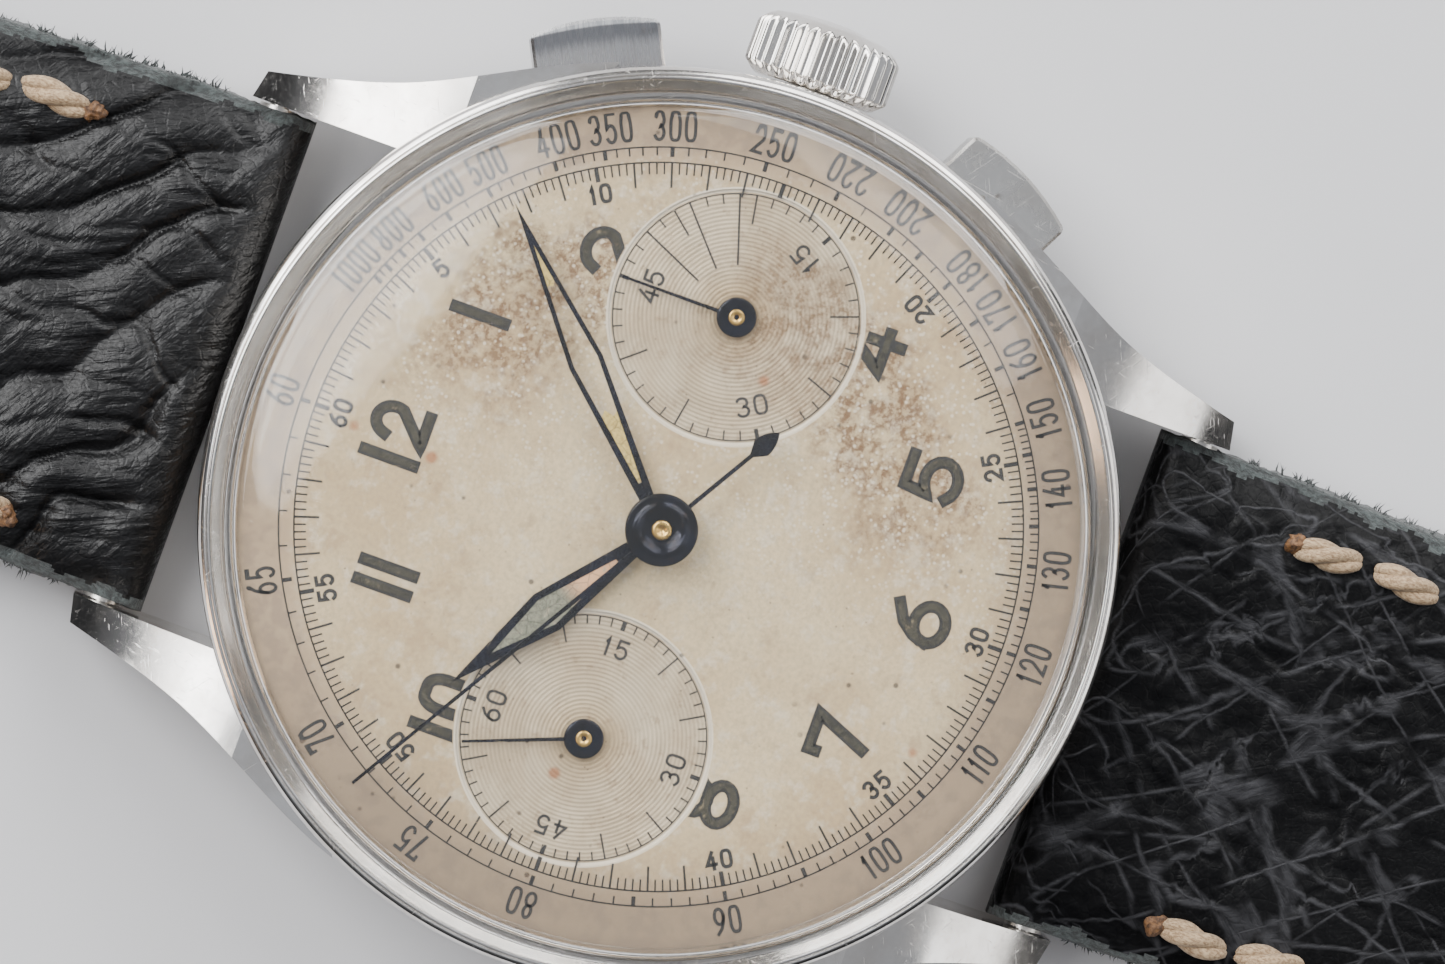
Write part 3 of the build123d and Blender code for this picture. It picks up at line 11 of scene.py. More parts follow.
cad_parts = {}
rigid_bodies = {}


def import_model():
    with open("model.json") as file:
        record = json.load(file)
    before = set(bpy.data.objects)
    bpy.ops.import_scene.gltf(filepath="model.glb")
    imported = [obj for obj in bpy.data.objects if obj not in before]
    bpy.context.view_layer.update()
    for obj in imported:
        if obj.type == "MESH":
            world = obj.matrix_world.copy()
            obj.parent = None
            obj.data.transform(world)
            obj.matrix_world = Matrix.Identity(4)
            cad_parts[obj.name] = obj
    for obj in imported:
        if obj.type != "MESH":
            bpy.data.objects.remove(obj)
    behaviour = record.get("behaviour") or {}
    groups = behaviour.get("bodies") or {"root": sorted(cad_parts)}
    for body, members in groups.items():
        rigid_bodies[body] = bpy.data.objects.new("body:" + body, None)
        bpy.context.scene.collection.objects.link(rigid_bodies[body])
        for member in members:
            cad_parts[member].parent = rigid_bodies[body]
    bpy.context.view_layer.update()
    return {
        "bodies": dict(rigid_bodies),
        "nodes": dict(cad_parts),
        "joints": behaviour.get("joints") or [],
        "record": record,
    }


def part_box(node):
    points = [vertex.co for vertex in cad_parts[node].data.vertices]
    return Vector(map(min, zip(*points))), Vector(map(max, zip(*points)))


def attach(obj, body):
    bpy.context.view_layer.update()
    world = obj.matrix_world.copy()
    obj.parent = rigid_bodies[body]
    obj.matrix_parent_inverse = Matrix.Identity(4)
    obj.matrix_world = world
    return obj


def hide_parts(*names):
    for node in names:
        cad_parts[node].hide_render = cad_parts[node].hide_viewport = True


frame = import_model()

MM = 0.001
nodes = frame["nodes"]

# driving dimensions, in millimetres
DIAL_TOP = 7.6
REGISTER_X = 8.45
REGISTER_FLOOR = 7.48
RECESS_R = 4.85
HOUR_ANGLE = 303.8
MINUTE_ANGLE = 46.0
MINUTE_TRACK_R = 13.78
TACHY_TRACK_R = 14.36
NUMERAL_R = 10.5
INK_HIGH = 0.012
BAR_Y = 19.0
BAR_Z = 2.6
LOOP_R = 1.6
FINE_TO_Y = 31.0
REGISTER_TRACK_R = 4.66
MINUTE_LABEL_R = 12.78
TACHY_LABEL_R = 15.1
NUMERAL_HIGH = 2.4
NUMERAL_PEN = 0.47
NUMERAL_GAP = 0.28
LUME_INSET = 0.115
BUCKLE_BAR_Y = 94.0
BUCKLE_BAR_Z = 2.3
FIRST_HOLE_Y = 110.0
HOLE_STEP = 6.5
HOLE_COUNT = 7
KEEPER_WALL = 1.0


# ---------------------------------------------------------------- node graph helper
def srgb(red, green, blue):
    """A colour given in screen values 0 to 255, as linear light."""
    def lin(v):
        v /= 255.0
        return v / 12.92 if v <= 0.04045 else ((v + 0.055) / 1.055) ** 2.4
    return (lin(red), lin(green), lin(blue), 1.0)


class Graph:
    """A material's node tree, with short calls for its nodes and a base colour built up in layers."""

    def __init__(self, name):
        self.material = bpy.data.materials.new(name)
        self.material.use_nodes = True
        self.tree = self.material.node_tree
        self.tree.nodes.clear()
        self.output = self.tree.nodes.new("ShaderNodeOutputMaterial")
        coordinates = self.node("ShaderNodeTexCoord", {}).outputs["Object"]
        self.place = self.node("ShaderNodeVectorMath", {}, operation="SCALE")
        self.put(self.place.inputs[0], coordinates)
        self.put(self.place.inputs["Scale"], 1.0 / MM)
        self.place = self.place.outputs[0]

    def put(self, socket, value):
        if isinstance(value, bpy.types.NodeSocket):
            self.tree.links.new(value, socket)
        else:
            socket.default_value = value

    def node(self, kind, inputs, **settings):
        made = self.tree.nodes.new(kind)
        for key, value in settings.items():
            setattr(made, key, value)
        for key, value in inputs.items():
            self.put(made.inputs[key], value)
        return made

    def math(self, operation, a, b=None):
        inputs = {0: a} if b is None else {0: a, 1: b}
        return self.node("ShaderNodeMath", inputs, operation=operation).outputs[0]

    def times(self, a, b):
        return self.math("MULTIPLY", a, b)

    def plus(self, a, b):
        return self.math("ADD", a, b)

    def minus(self, a, b):
        return self.math("SUBTRACT", a, b)

    def mix(self, factor, a, b):
        """One colour over another by a factor. Plain colours are given in screen values 0 to 255."""
        made = self.node("ShaderNodeMix", {0: factor}, data_type="RGBA")
        for socket, value in ((6, a), (7, b)):
            self.put(made.inputs[socket], srgb(*value) if isinstance(value, tuple) else value)
        return made.outputs[2]

    def tint(self, factor, colour):
        """Lays a colour over the base colour."""
        self.base = self.mix(factor, self.base, colour)

    def span(self, value, low, high, to_low=0.0, to_high=1.0, smooth=True):
        """The part of a value from low to high, drawn out to another span."""
        made = self.node("ShaderNodeMapRange", {0: value, 1: low, 2: high, 3: to_low, 4: to_high})
        made.interpolation_type = "SMOOTHSTEP" if smooth else "LINEAR"
        return made.outputs[0]

    def noise(self, scale, detail=3.0, rough=0.55, vector=None):
        """Noise between 0 and 1, with a scale in features per millimetre."""
        inputs = {"Vector": vector or self.place, "Scale": scale, "Detail": detail, "Roughness": rough}
        return self.node("ShaderNodeTexNoise", inputs).outputs[0]

    def cells(self, scale, feature="F1", vector=None):
        """Distance to the nearest cell's centre, or to its edge."""
        inputs = {"Vector": vector or self.place, "Scale": scale}
        return self.node("ShaderNodeTexVoronoi", inputs, feature=feature).outputs["Distance"]

    def stretched(self, x, y, z, turn=0.0):
        """Place stretched by a factor along each axis, after a turn about Z in degrees."""
        inputs = {"Vector": self.place, "Scale": (1 / x, 1 / y, 1 / z)}
        inputs["Rotation"] = (0.0, 0.0, math.radians(turn))
        return self.node("ShaderNodeMapping", inputs, vector_type="TEXTURE").outputs[0]

    def fibres(self, x, y, z, turn, detail=2.0, rough=0.6):
        """Noise drawn out along one direction."""
        return self.noise(1.0, detail, rough, self.stretched(x, y, z, turn))

    def lines(self, along, across, turn, width, detail, seed):
        """Long wandering lines: the middle contour of a noise stretched along one direction."""
        inputs = {0: self.stretched(along, across, 1.0, turn), 1: (seed, seed, seed)}
        moved = self.node("ShaderNodeVectorMath", inputs, operation="ADD").outputs[0]
        off = self.math("ABSOLUTE", self.minus(self.noise(1.0, detail, 0.5, moved), 0.5))
        return self.span(off, width, 0.0)

    def strongest(self, *values):
        """The largest of some values."""
        made = values[0]
        for value in values[1:]:
            made = self.math("MAXIMUM", made, value)
        return made

    def split(self):
        return self.node("ShaderNodeSeparateXYZ", {0: self.place}).outputs

    def distance(self, x, y):
        """Distance in millimetres from the upright line through x, y."""
        place = self.split()
        across, along = self.minus(place[0], x), self.minus(place[1], y)
        return self.math("SQRT", self.plus(self.times(across, across), self.times(along, along)))

    def bump(self, height, strength, depth, normal=None):
        """Bump from a height in 0 to 1, with its real depth in millimetres."""
        inputs = {"Height": height, "Strength": strength, "Distance": depth * MM}
        if normal is not None:
            inputs["Normal"] = normal
        return self.node("ShaderNodeBump", inputs).outputs[0]

    def surface(self, output):
        """Gives the material its surface and returns it."""
        self.put(self.output.inputs[0], output)
        return self.material

    def shader(self, **inputs):
        """A surface of the base colour with the inputs named, underscores for blanks."""
        named = {key.replace("_", " "): value for key, value in inputs.items()}
        made = self.node("ShaderNodeBsdfPrincipled", {"Base Color": self.base, **named})
        return self.surface(made.outputs[0])


# ---------------------------------------------------------------- metals
def scratched_metal(name, colour, shade, rough, scratch=0.25, brushed=None, stain=None):
    """Metal with fine scratches in three directions, cloudy wear and, where asked, brushing or stains."""
    g = Graph(name)
    scratches = g.strongest(g.fibres(0.6, 14.0, 4.0, 24.0), g.fibres(0.5, 11.0, 4.0, -37.0),
                            g.fibres(0.5, 9.0, 4.0, 81.0))
    marks = g.span(scratches, 0.66, 0.74)
    cloud = g.noise(0.35, 4.0, 0.6)
    fine = g.noise(6.0, 3.0, 0.6)
    g.base = g.mix(g.span(cloud, 0.35, 0.7), colour, shade)
    if stain is not None:
        g.tint(g.span(g.noise(0.9, 5.0, 0.65), 0.6, 0.75, 0.0, 0.7), stain)
    roughness = g.plus(g.span(cloud, 0.3, 0.7, rough, rough + 0.09), g.times(marks, 0.12))
    roughness = g.plus(roughness, g.span(fine, 0.4, 0.8, 0.0, 0.05))
    normal = g.bump(marks, scratch, -0.004)
    if brushed is not None:
        normal = g.bump(g.fibres(*brushed, rough=0.5), 0.35, 0.006, normal)
    else:
        normal = g.bump(fine, 0.07, 0.003, normal)
    return g.shader(Metallic=1.0, Roughness=roughness, Normal=normal)


polished_steel = scratched_metal("polished_steel", (226, 223, 219), (203, 198, 192), 0.10)
satin_steel = scratched_metal("satin_steel", (206, 203, 198), (176, 172, 166), 0.27, 0.3,
                              (0.8, 16.0, 16.0, 8.0))
worn_steel = scratched_metal("worn_steel", (214, 212, 208), (183, 180, 176), 0.2, 0.4, stain=(118, 104, 88))
gilt = scratched_metal("gilt_brass", (224, 188, 122), (198, 158, 96), 0.24, 0.2, (1.0, 12.0, 12.0, 35.0))
brass = scratched_metal("wheel_brass", (214, 180, 105), (182, 146, 78), 0.22, 0.2)
nickel = scratched_metal("nickel_plate", (208, 203, 192), (186, 179, 166), 0.26, 0.2,
                         (1.0, 10.0, 10.0, -20.0))
works_steel = scratched_metal("works_steel", (196, 196, 198), (166, 166, 170), 0.2, 0.25)
spring_steel = scratched_metal("spring_steel", (150, 152, 160), (112, 114, 122), 0.28, 0.2)


def pusher_steel():
    """Brushed pusher head: grey flats, a painted dark reflection in streaks towards its rounded end and a
    painted highlight along the polished lip.
    """
    g = Graph("pusher_steel")
    reach = g.distance(0.0, 0.0)
    streaks = g.fibres(0.5, 9.0, 3.0, 27.0, 3.0)
    wander = g.plus(reach, g.times(g.minus(streaks, 0.5), 0.7))
    g.base = g.mix(g.span(streaks, 0.35, 0.65), (198, 197, 197), (158, 157, 158))
    # painted dark reflection: a streaky darker band towards the rounded end
    g.tint(g.times(g.span(wander, 18.3, 18.85), 0.65), (98, 100, 106))
    # painted highlight: a bright line along the polished lip at the outer end
    g.tint(g.span(reach, 19.16, 19.24), (238, 238, 238))
    g.tint(g.span(g.noise(1.2, 5.0, 0.7), 0.58, 0.7, 0.0, 0.5), (120, 116, 112))
    return g.shader(Metallic=1.0, Roughness=g.span(streaks, 0.3, 0.7, 0.2, 0.34),
                    Normal=g.bump(streaks, 0.15, 0.006))


def blued(name, smooth, rough):
    """Heat-blued steel: blue-black, with bluer and browner patches."""
    g = Graph(name)
    patch = g.noise(0.7, 3.0, 0.6)
    g.base = g.mix(g.span(patch, 0.4, 0.65), (15, 15, 18), (24, 27, 40))
    g.tint(g.span(g.noise(2.4, 4.0, 0.6), 0.6, 0.75, 0.0, 0.8), (58, 48, 42))
    fine = g.noise(9.0, 3.0, 0.6)
    return g.shader(Metallic=0.7, Roughness=g.span(fine, 0.3, 0.7, smooth, rough),
                    Normal=g.bump(fine, 0.2, 0.004))


def ruby():
    g = Graph("ruby_jewel")
    g.base = g.mix(g.noise(3.0), (150, 16, 48), (190, 34, 70))
    return g.shader(Roughness=g.span(g.noise(5.0), 0.3, 0.7, 0.04, 0.1), Coat_Weight=0.5, IOR=1.76,
                    Subsurface_Weight=0.2, Subsurface_Scale=0.4 * MM)


pusher_head = pusher_steel()
blued_steel = blued("blued_steel", 0.2, 0.4)
polished_blued_steel = blued("polished_blued_steel", 0.06, 0.16)
ruby_jewel = ruby()


# ---------------------------------------------------------------- dial
def dial_material():
    """Aged silver-beige dial: mottled grain, a foxed brown arc, rust dots, grey edge, turned registers."""
    g = Graph("aged_dial")
    split = g.split()
    centre = g.distance(0.0, 0.0)
    near = g.math("MINIMUM", g.distance(-REGISTER_X, 0.0), g.distance(REGISTER_X, 0.0))
    broad = g.noise(0.16, 4.0, 0.6)
    grain = g.noise(5.0, 4.0, 0.65)
    mottle = g.noise(1.5, 5.0, 0.62)
    g.base = g.mix(g.span(broad, 0.35, 0.65), (204, 186, 149), (185, 162, 123))
    g.tint(g.span(mottle, 0.5, 0.66, 0.0, 0.7), (208, 196, 174))
    g.tint(g.span(g.noise(0.7, 6.0, 0.75), 0.52, 0.66, 0.0, 0.4), (150, 124, 92))
    g.tint(g.span(grain, 0.35, 0.7, 0.0, 0.4), (148, 131, 107))
    # foxed arc from between 12 and 1 round to 4 and 5: brown ground with small pale dots
    drift = g.times(g.minus(g.noise(0.3, 4.0, 0.6), 0.5), 7.0)
    ring = g.plus(centre, drift)
    arc_zone = g.times(g.span(ring, 5.2, 8.2), g.span(ring, 12.8, 10.6))
    arc_zone = g.times(arc_zone, g.span(g.plus(split[0], drift), 0.2, 5.0))
    ground = g.times(arc_zone, g.span(g.noise(0.9, 5.0, 0.66), 0.32, 0.55))
    speckle = g.span(g.noise(3.4, 6.0, 0.78), 0.42, 0.58, 0.22, 1.0)
    ground = g.times(ground, speckle)
    g.tint(g.times(ground, 0.95), (102, 70, 36))
    dots = g.times(g.span(g.cells(4.2), 0.34, 0.2), g.span(g.noise(0.8, 3.0), 0.38, 0.52))
    g.tint(g.times(g.times(dots, g.span(split[0], -3.0, 3.0)), 0.72), (212, 202, 184))
    # pink-grey zone outside the minute track, with painted shadow of the bezel: darker towards 9, towards 6
    # and at the very edge
    outer = g.span(centre, 12.9, 14.6)
    g.tint(g.times(outer, 0.85), (160, 138, 113))
    g.tint(g.span(g.times(outer, mottle), 0.42, 0.62, 0.0, 0.5), (126, 108, 92))
    # painted shadow of the bezel, darkest towards 9
    low = g.times(g.span(split[0], -6.0, -15.5), g.span(centre, 11.0, 15.0))
    g.tint(g.times(low, 0.66), (104, 90, 74))
    # painted shade of the bezel towards 6
    side = g.times(g.span(split[1], -5.0, -15.0), g.span(centre, 11.5, 15.0))
    g.tint(g.times(side, 0.5), (104, 91, 76))
    # painted shade under the bezel's rim, at the dial's very edge
    g.tint(g.span(centre, 15.4, 16.1, 0.0, 0.6), (92, 79, 66))
    # registers: turned rings, a painted highlight on the rim's polished chamfer and a yellowish middle
    inside = g.span(near, RECESS_R + 0.02, RECESS_R - 0.02)
    register = g.mix(g.span(g.noise(0.5, 4.0, 0.6), 0.35, 0.65), (202, 187, 161), (184, 166, 138))
    register = g.mix(g.span(near, 2.2, 0.8, 0.0, 0.5), register, (176, 150, 108))
    register = g.mix(g.span(g.noise(2.6, 5.0, 0.7), 0.54, 0.7, 0.0, 0.5), register, (134, 110, 80))
    fox_side = g.span(split[1], 2.2, -1.5, 0.1, 0.85)
    register = g.mix(g.times(ground, fox_side), register, (112, 82, 48))
    rings = g.math("SINE", g.times(near, 2.0 * math.pi / 0.16))
    register = g.mix(g.span(rings, -1.0, 1.0, 0.0, 0.26, smooth=False), register, (96, 82, 64))
    g.tint(inside, register)
    # painted highlight: a bright ring on the polished chamfer round each register
    rim = g.times(g.span(near, 4.72, 4.76), g.span(near, 4.93, 4.89))
    g.tint(g.times(rim, 0.75), (222, 214, 198))
    # specks of dirt, and rust dots
    dirt = g.span(g.cells(0.8), 0.11, 0.05)
    g.tint(g.times(dirt, g.span(g.noise(0.4), 0.45, 0.55, 0.0, 0.85)), (66, 52, 40))
    fine_dirt = g.span(g.cells(2.2), 0.1, 0.05)
    g.tint(g.times(fine_dirt, g.span(g.noise(0.5, 3.0), 0.5, 0.58, 0.0, 0.8)), (92, 74, 56))
    rust = g.span(g.cells(0.24, vector=g.stretched(1.0, 1.0, 1.0, 33.0)), 0.075, 0.03)
    g.tint(g.times(rust, 0.75), (150, 88, 44))
    metallic = g.plus(g.times(inside, 0.3), 0.15)
    rough = g.minus(g.span(mottle, 0.3, 0.7, 0.5, 0.66), g.times(inside, 0.14))
    normal = g.bump(grain, 0.25, 0.012)
    normal = g.bump(mottle, 0.2, 0.03, normal)
    normal = g.bump(g.times(g.times(rings, 0.5), inside), 0.6, 0.016, normal)
    return g.shader(Metallic=metallic, Roughness=rough, Normal=normal)


def ink_material(name, colour, faded):
    g = Graph(name)
    g.base = g.mix(g.span(g.noise(3.2, 5.0, 0.7), 0.45, 0.72), colour, faded)
    return g.shader(Roughness=g.span(g.noise(4.0), 0.3, 0.7, 0.42, 0.6),
                    Normal=g.bump(g.noise(11.0), 0.3, 0.004))


def lume_material(name, light, dark, fleck, near_colour=None, near=None):
    """Old luminous paint: grainy, cracked, with flecks, and a warmer end where asked."""
    g = Graph(name)
    grain = g.noise(7.0, 5.0, 0.7)
    g.base = g.mix(g.span(grain, 0.35, 0.65), light, dark)
    if near_colour is not None:
        g.tint(g.span(g.distance(0.0, 0.0), near[1], near[0]), near_colour)
    g.tint(g.span(g.noise(2.6, 5.0, 0.7), 0.58, 0.68, 0.0, 0.8), fleck)
    crack = g.span(g.cells(1.7, "DISTANCE_TO_EDGE"), 0.05, 0.0)
    g.tint(g.times(crack, 0.5), (30, 26, 20))
    normal = g.bump(grain, 0.6, 0.03)
    return g.shader(Roughness=g.span(grain, 0.3, 0.7, 0.75, 0.95), Normal=normal)


aged_dial = dial_material()
black_ink = ink_material("black_ink", (11, 11, 11), (34, 29, 25))
dark_outline = ink_material("dark_outline", (9, 9, 8), (24, 21, 17))
numeral_lume = lume_material("numeral_lume", (58, 55, 40), (30, 28, 21), (124, 112, 86))
hour_lume = lume_material("hour_lume", (134, 134, 116), (98, 100, 86), (166, 158, 136),
                          (214, 168, 128), (3.4, 4.6))
minute_lume = lume_material("minute_lume", (206, 184, 112), (170, 146, 84), (222, 204, 146))


# ---------------------------------------------------------------- printed marks as thin solid prisms
def turn_clockwise(x, y, angle):
    """Turns a point clockwise about the dial's centre by an angle in degrees."""
    a = math.radians(angle)
    return (x * math.cos(a) + y * math.sin(a), y * math.cos(a) - x * math.sin(a))


def placed(points, angle, x=0.0, y=0.0):
    """Points turned clockwise about the origin and then moved."""
    return tuple((x + px, y + py) for px, py in (turn_clockwise(*point, angle) for point in points))


def arc(cx, cy, rx, ry, start, end, count=14):
    """Points on an ellipse's arc, angles counter-clockwise in degrees."""
    steps = [math.radians(start + (end - start) * k / count) for k in range(count + 1)]
    return [(cx + rx * math.cos(a), cy + ry * math.sin(a)) for a in steps]


def rounded_loop(half_wide, half_high, corner):
    """A closed rounded rectangle, counter-clockwise."""
    points = []
    for sx, sy, start in ((1, 1, 0), (-1, 1, 90), (-1, -1, 180), (1, -1, 270)):
        cx, cy = sx * (half_wide - corner), sy * (half_high - corner)
        points += arc(cx, cy, corner, corner, start, start + 90, 5)
    return points


def resample(points, step, closed):
    """Points along a line at an even step, keeping its corners."""
    made = []
    ends = points[1:] + ([points[0]] if closed else [])
    for (x0, y0), (x1, y1) in zip(points, ends):
        count = max(1, int(math.hypot(x1 - x0, y1 - y0) / step))
        made += [(x0 + (x1 - x0) * k / count, y0 + (y1 - y0) * k / count) for k in range(count)]
    return made if closed else made + [points[-1]]


def stroke(points, width, closed=False, step=0.2, lanes=1):
    """Quads of a flat pen stroke of one width along a line, with mitred corners."""
    line = resample(points, step, closed)
    count = len(line)
    shares = [1.0 - 2.0 * j / lanes for j in range(lanes + 1)]
    rows = []
    for k, (x, y) in enumerate(line):
        before = line[k - 1] if closed or k > 0 else line[k]
        after = line[(k + 1) % count] if closed or k < count - 1 else line[k]
        ahead = Vector((after[0] - x, after[1] - y))
        behind = Vector((x - before[0], y - before[1]))
        ahead = ahead.normalized() if ahead.length > 1e-9 else behind.normalized()
        behind = behind.normalized() if behind.length > 1e-9 else ahead
        along = ahead + behind
        along = along.normalized() if along.length > 0.3 else ahead
        reach = min(2.0, 1.0 / max(0.35, along.dot(ahead)))
        side = Vector((-along.y, along.x)) * (width * 0.5 * reach)
        rows.append([(x + side.x * share, y + side.y * share) for share in shares])
    pairs = list(zip(rows, rows[1:])) + ([(rows[-1], rows[0])] if closed else [])
    return [(a[j], a[j + 1], b[j + 1], b[j]) for a, b in pairs for j in range(lanes)]


# centre lines of each digit in a box one wide and one high about the origin: (points, closed) pairs
DIGITS = {
    "0": [(rounded_loop(0.5, 0.5, 0.34), True)],
    "1": [([(-0.3, 0.24), (0.05, 0.5), (0.05, -0.5)], False)],
    "2": [(arc(0.0, 0.17, 0.48, 0.33, 165, -25) + [(-0.5, -0.5), (0.5, -0.5)], False)],
    "3": [(arc(-0.02, 0.25, 0.46, 0.25, 150, -80) + arc(-0.02, -0.22, 0.5, 0.28, 75, -150), False)],
    "4": [([(0.5, -0.24), (-0.5, -0.24), (0.18, 0.5)], False), ([(0.22, 0.16), (0.22, -0.5)], False)],
    "5": [([(0.44, 0.5), (-0.36, 0.5), (-0.42, 0.04)] + arc(0.0, -0.17, 0.5, 0.33, 128, -145), False)],
    "6": [(arc(0.0, -0.19, 0.48, 0.31, 0, 360, 22)[:-1], True),
          ([(0.3, 0.5), (-0.12, 0.32), (-0.38, 0.06), (-0.48, -0.19)], False)],
    "7": [([(-0.46, 0.36), (-0.46, 0.5), (0.48, 0.5), (-0.06, -0.5)], False)],
    "8": [(arc(0.0, 0.26, 0.4, 0.24, 0, 360, 20)[:-1], True),
          (arc(0.0, -0.23, 0.5, 0.27, 0, 360, 20)[:-1], True)],
    "9": [(arc(0.0, 0.19, 0.48, 0.31, 0, 360, 22)[:-1], True),
          ([(-0.3, -0.5), (0.12, -0.32), (0.38, -0.06), (0.48, 0.19)], False)],
}
# the same for the large hour numerals, where they differ: a plain 1 and a 4 with a broken stem
BOLD_DIGITS = {
    "1": [([(0.0, 0.5), (0.0, -0.5)], False)],
    "4": [DIGITS["4"][0], ([(0.24, 0.06), (0.24, 0.0)], False), ([(0.24, -0.48), (0.24, -0.52)], False)],
}


def numeral(text, x, y, wide, high, pen, gap, turn=0.0, bold=False, step=0.12, lanes=1, inset=0.0,
            strokes=(0, 1, 2)):
    """Quads of a number centred at x, y and turned clockwise, from the strokes asked for."""
    shapes = {**DIGITS, **BOLD_DIGITS} if bold else DIGITS
    one_wide = pen * 1.05 if bold else wide * 0.62
    widths = [one_wide if c == "1" else wide for c in text]
    quads = []
    left = -(sum(widths) + gap * (len(text) - 1)) / 2
    for c, w in zip(text, widths):
        inner_wide = max(w - pen, 1e-4)
        for k, (points, closed) in enumerate(shapes[c]):
            if k not in strokes:
                continue
            line = [(left + w / 2 + px * inner_wide, py * (high - pen)) for px, py in points]
            if not closed:
                line = shortened(line, inset - pen / 2)
            quads += stroke(line, pen - 2 * inset, closed, step, lanes)
        left += w + gap
    return [placed(quad, turn, x, y) for quad in quads]


def shortened(line, amount):
    """A line cut back at both ends by an amount, or drawn out where it is negative."""
    made = list(line)
    for end, inner in ((0, 1), (-1, -2)):
        a, b = Vector(made[end]), Vector(made[inner])
        along = (b - a).normalized()
        made[end] = tuple(a + along * min(amount, (b - a).length * 0.6))
    return made


def clipped(quads, places, radius):
    """Quads outside round places: those crossing an edge are pulled back onto it."""
    made = []
    for quad in quads:
        moved = []
        inside = 0
        for px, py in quad:
            for cx, cy in places:
                far = math.hypot(px - cx, py - cy)
                if far < radius:
                    inside += 1
                    px, py = cx + (px - cx) * radius / far, cy + (py - cy) * radius / far
            moved.append((px, py))
        if inside < 4:
            made.append(tuple(moved))
    return made


def in_scene(name, data):
    """An object of the scene made from a mesh, a light or a camera."""
    made = bpy.data.objects.new(name, data)
    bpy.context.scene.collection.objects.link(made)
    return made


def finished(bm, name):
    """The mesh of a solid with its faces turned outward."""
    bmesh.ops.recalc_face_normals(bm, faces=bm.faces)
    mesh = bpy.data.meshes.new(name)
    bm.to_mesh(mesh)
    bm.free()
    return mesh


def ring_of(bm, points):
    """Vertices at places given in millimetres."""
    return [bm.verts.new([c * MM for c in point]) for point in points]


def join(bm, rings, closed=False):
    """Faces from each ring of vertices to the next, and from the last to the first where closed."""
    count = len(rings[0])
    for a, b in list(zip(rings, rings[1:])) + ([(rings[-1], rings[0])] if closed else []):
        for k in range(count):
            after = (k + 1) % count
            bm.faces.new((a[k], a[after], b[after], b[k]))


def cap(bm, rings):
    """Flat faces over the first and the last ring."""
    bm.faces.new(rings[0])
    bm.faces.new(list(reversed(rings[-1])))


def piece(name, mesh, materials, body, smooth=False):
    """A visible piece that rides on a body."""
    made = in_scene(name, mesh)
    for material in materials:
        mesh.materials.append(material)
    if smooth:
        mesh.shade_smooth()
    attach(made, body)
    return made


def prism(name, quads, low, high, material):
    """One mesh of thin prisms on flat quads, printed or laid on the dial, in millimetres."""
    bm = bmesh.new()
    for quad in quads:
        bm.faces.new(ring_of(bm, [(px, py, high) for px, py in quad]))
    bmesh.ops.remove_doubles(bm, verts=bm.verts, dist=0.002 * MM)
    bmesh.ops.dissolve_degenerate(bm, edges=bm.edges, dist=0.0005 * MM)
    bmesh.ops.recalc_face_normals(bm, faces=bm.faces)
    made = bmesh.ops.extrude_face_region(bm, geom=bm.faces[:])
    for v in [v for v in made["geom"] if isinstance(v, bmesh.types.BMVert)]:
        v.co.z = low * MM
    piece(name, finished(bm, name), [material], "case")


def tick(angle, outer, length, width, x=0.0):
    """A radial mark that reaches inward from a circle, as one quad."""
    half, inner = width / 2, outer - length
    return placed(((-half, outer), (half, outer), (half, inner), (-half, inner)), angle, x)


def ticks(radius, count, kinds, x=0.0):
    """Marks at even steps round a circle: each has the first size whose places hold its number."""
    quads = []
    for k in range(count):
        length, width = next(size for places, size in kinds if k in places)
        quads.append(tick(k * 360.0 / count, radius, length, width, x))
    return quads


def circle(radius, width, x=0.0, count=240):
    points = arc(x, 0.0, radius, radius, 0, 360, count)[:-1]
    return stroke(points, width, True, 9.0)


def upright_turn(angle):
    """The turn of a radial numeral: tops outward in the upper half, inward in the lower."""
    folded = (angle + 180.0) % 360.0 - 180.0
    return angle if abs(folded) <= 91.0 else angle + 180.0


def radial_number(text, angle, radius, wide, high, pen, gap, cx=0.0):
    x, y = turn_clockwise(0.0, radius, angle)
    return numeral(text, cx + x, y, wide, high, pen, gap, upright_turn(angle))


def minute_track():
    """Minute circle with fifth-second, second and five-second marks and its numerals."""
    kinds = ((range(0, 300, 25), (0.55, 0.17)), (range(0, 300, 5), (0.95, 0.08)), (range(300), (0.45, 0.06)))
    quads = circle(MINUTE_TRACK_R, 0.06) + ticks(MINUTE_TRACK_R, 300, kinds)
    for minute in (5, 10, 20, 25, 30, 35, 40, 50, 55, 60):
        quads += radial_number(str(minute), minute * 6.0, MINUTE_LABEL_R, 0.48, 0.76, 0.14, 0.1)
    return quads


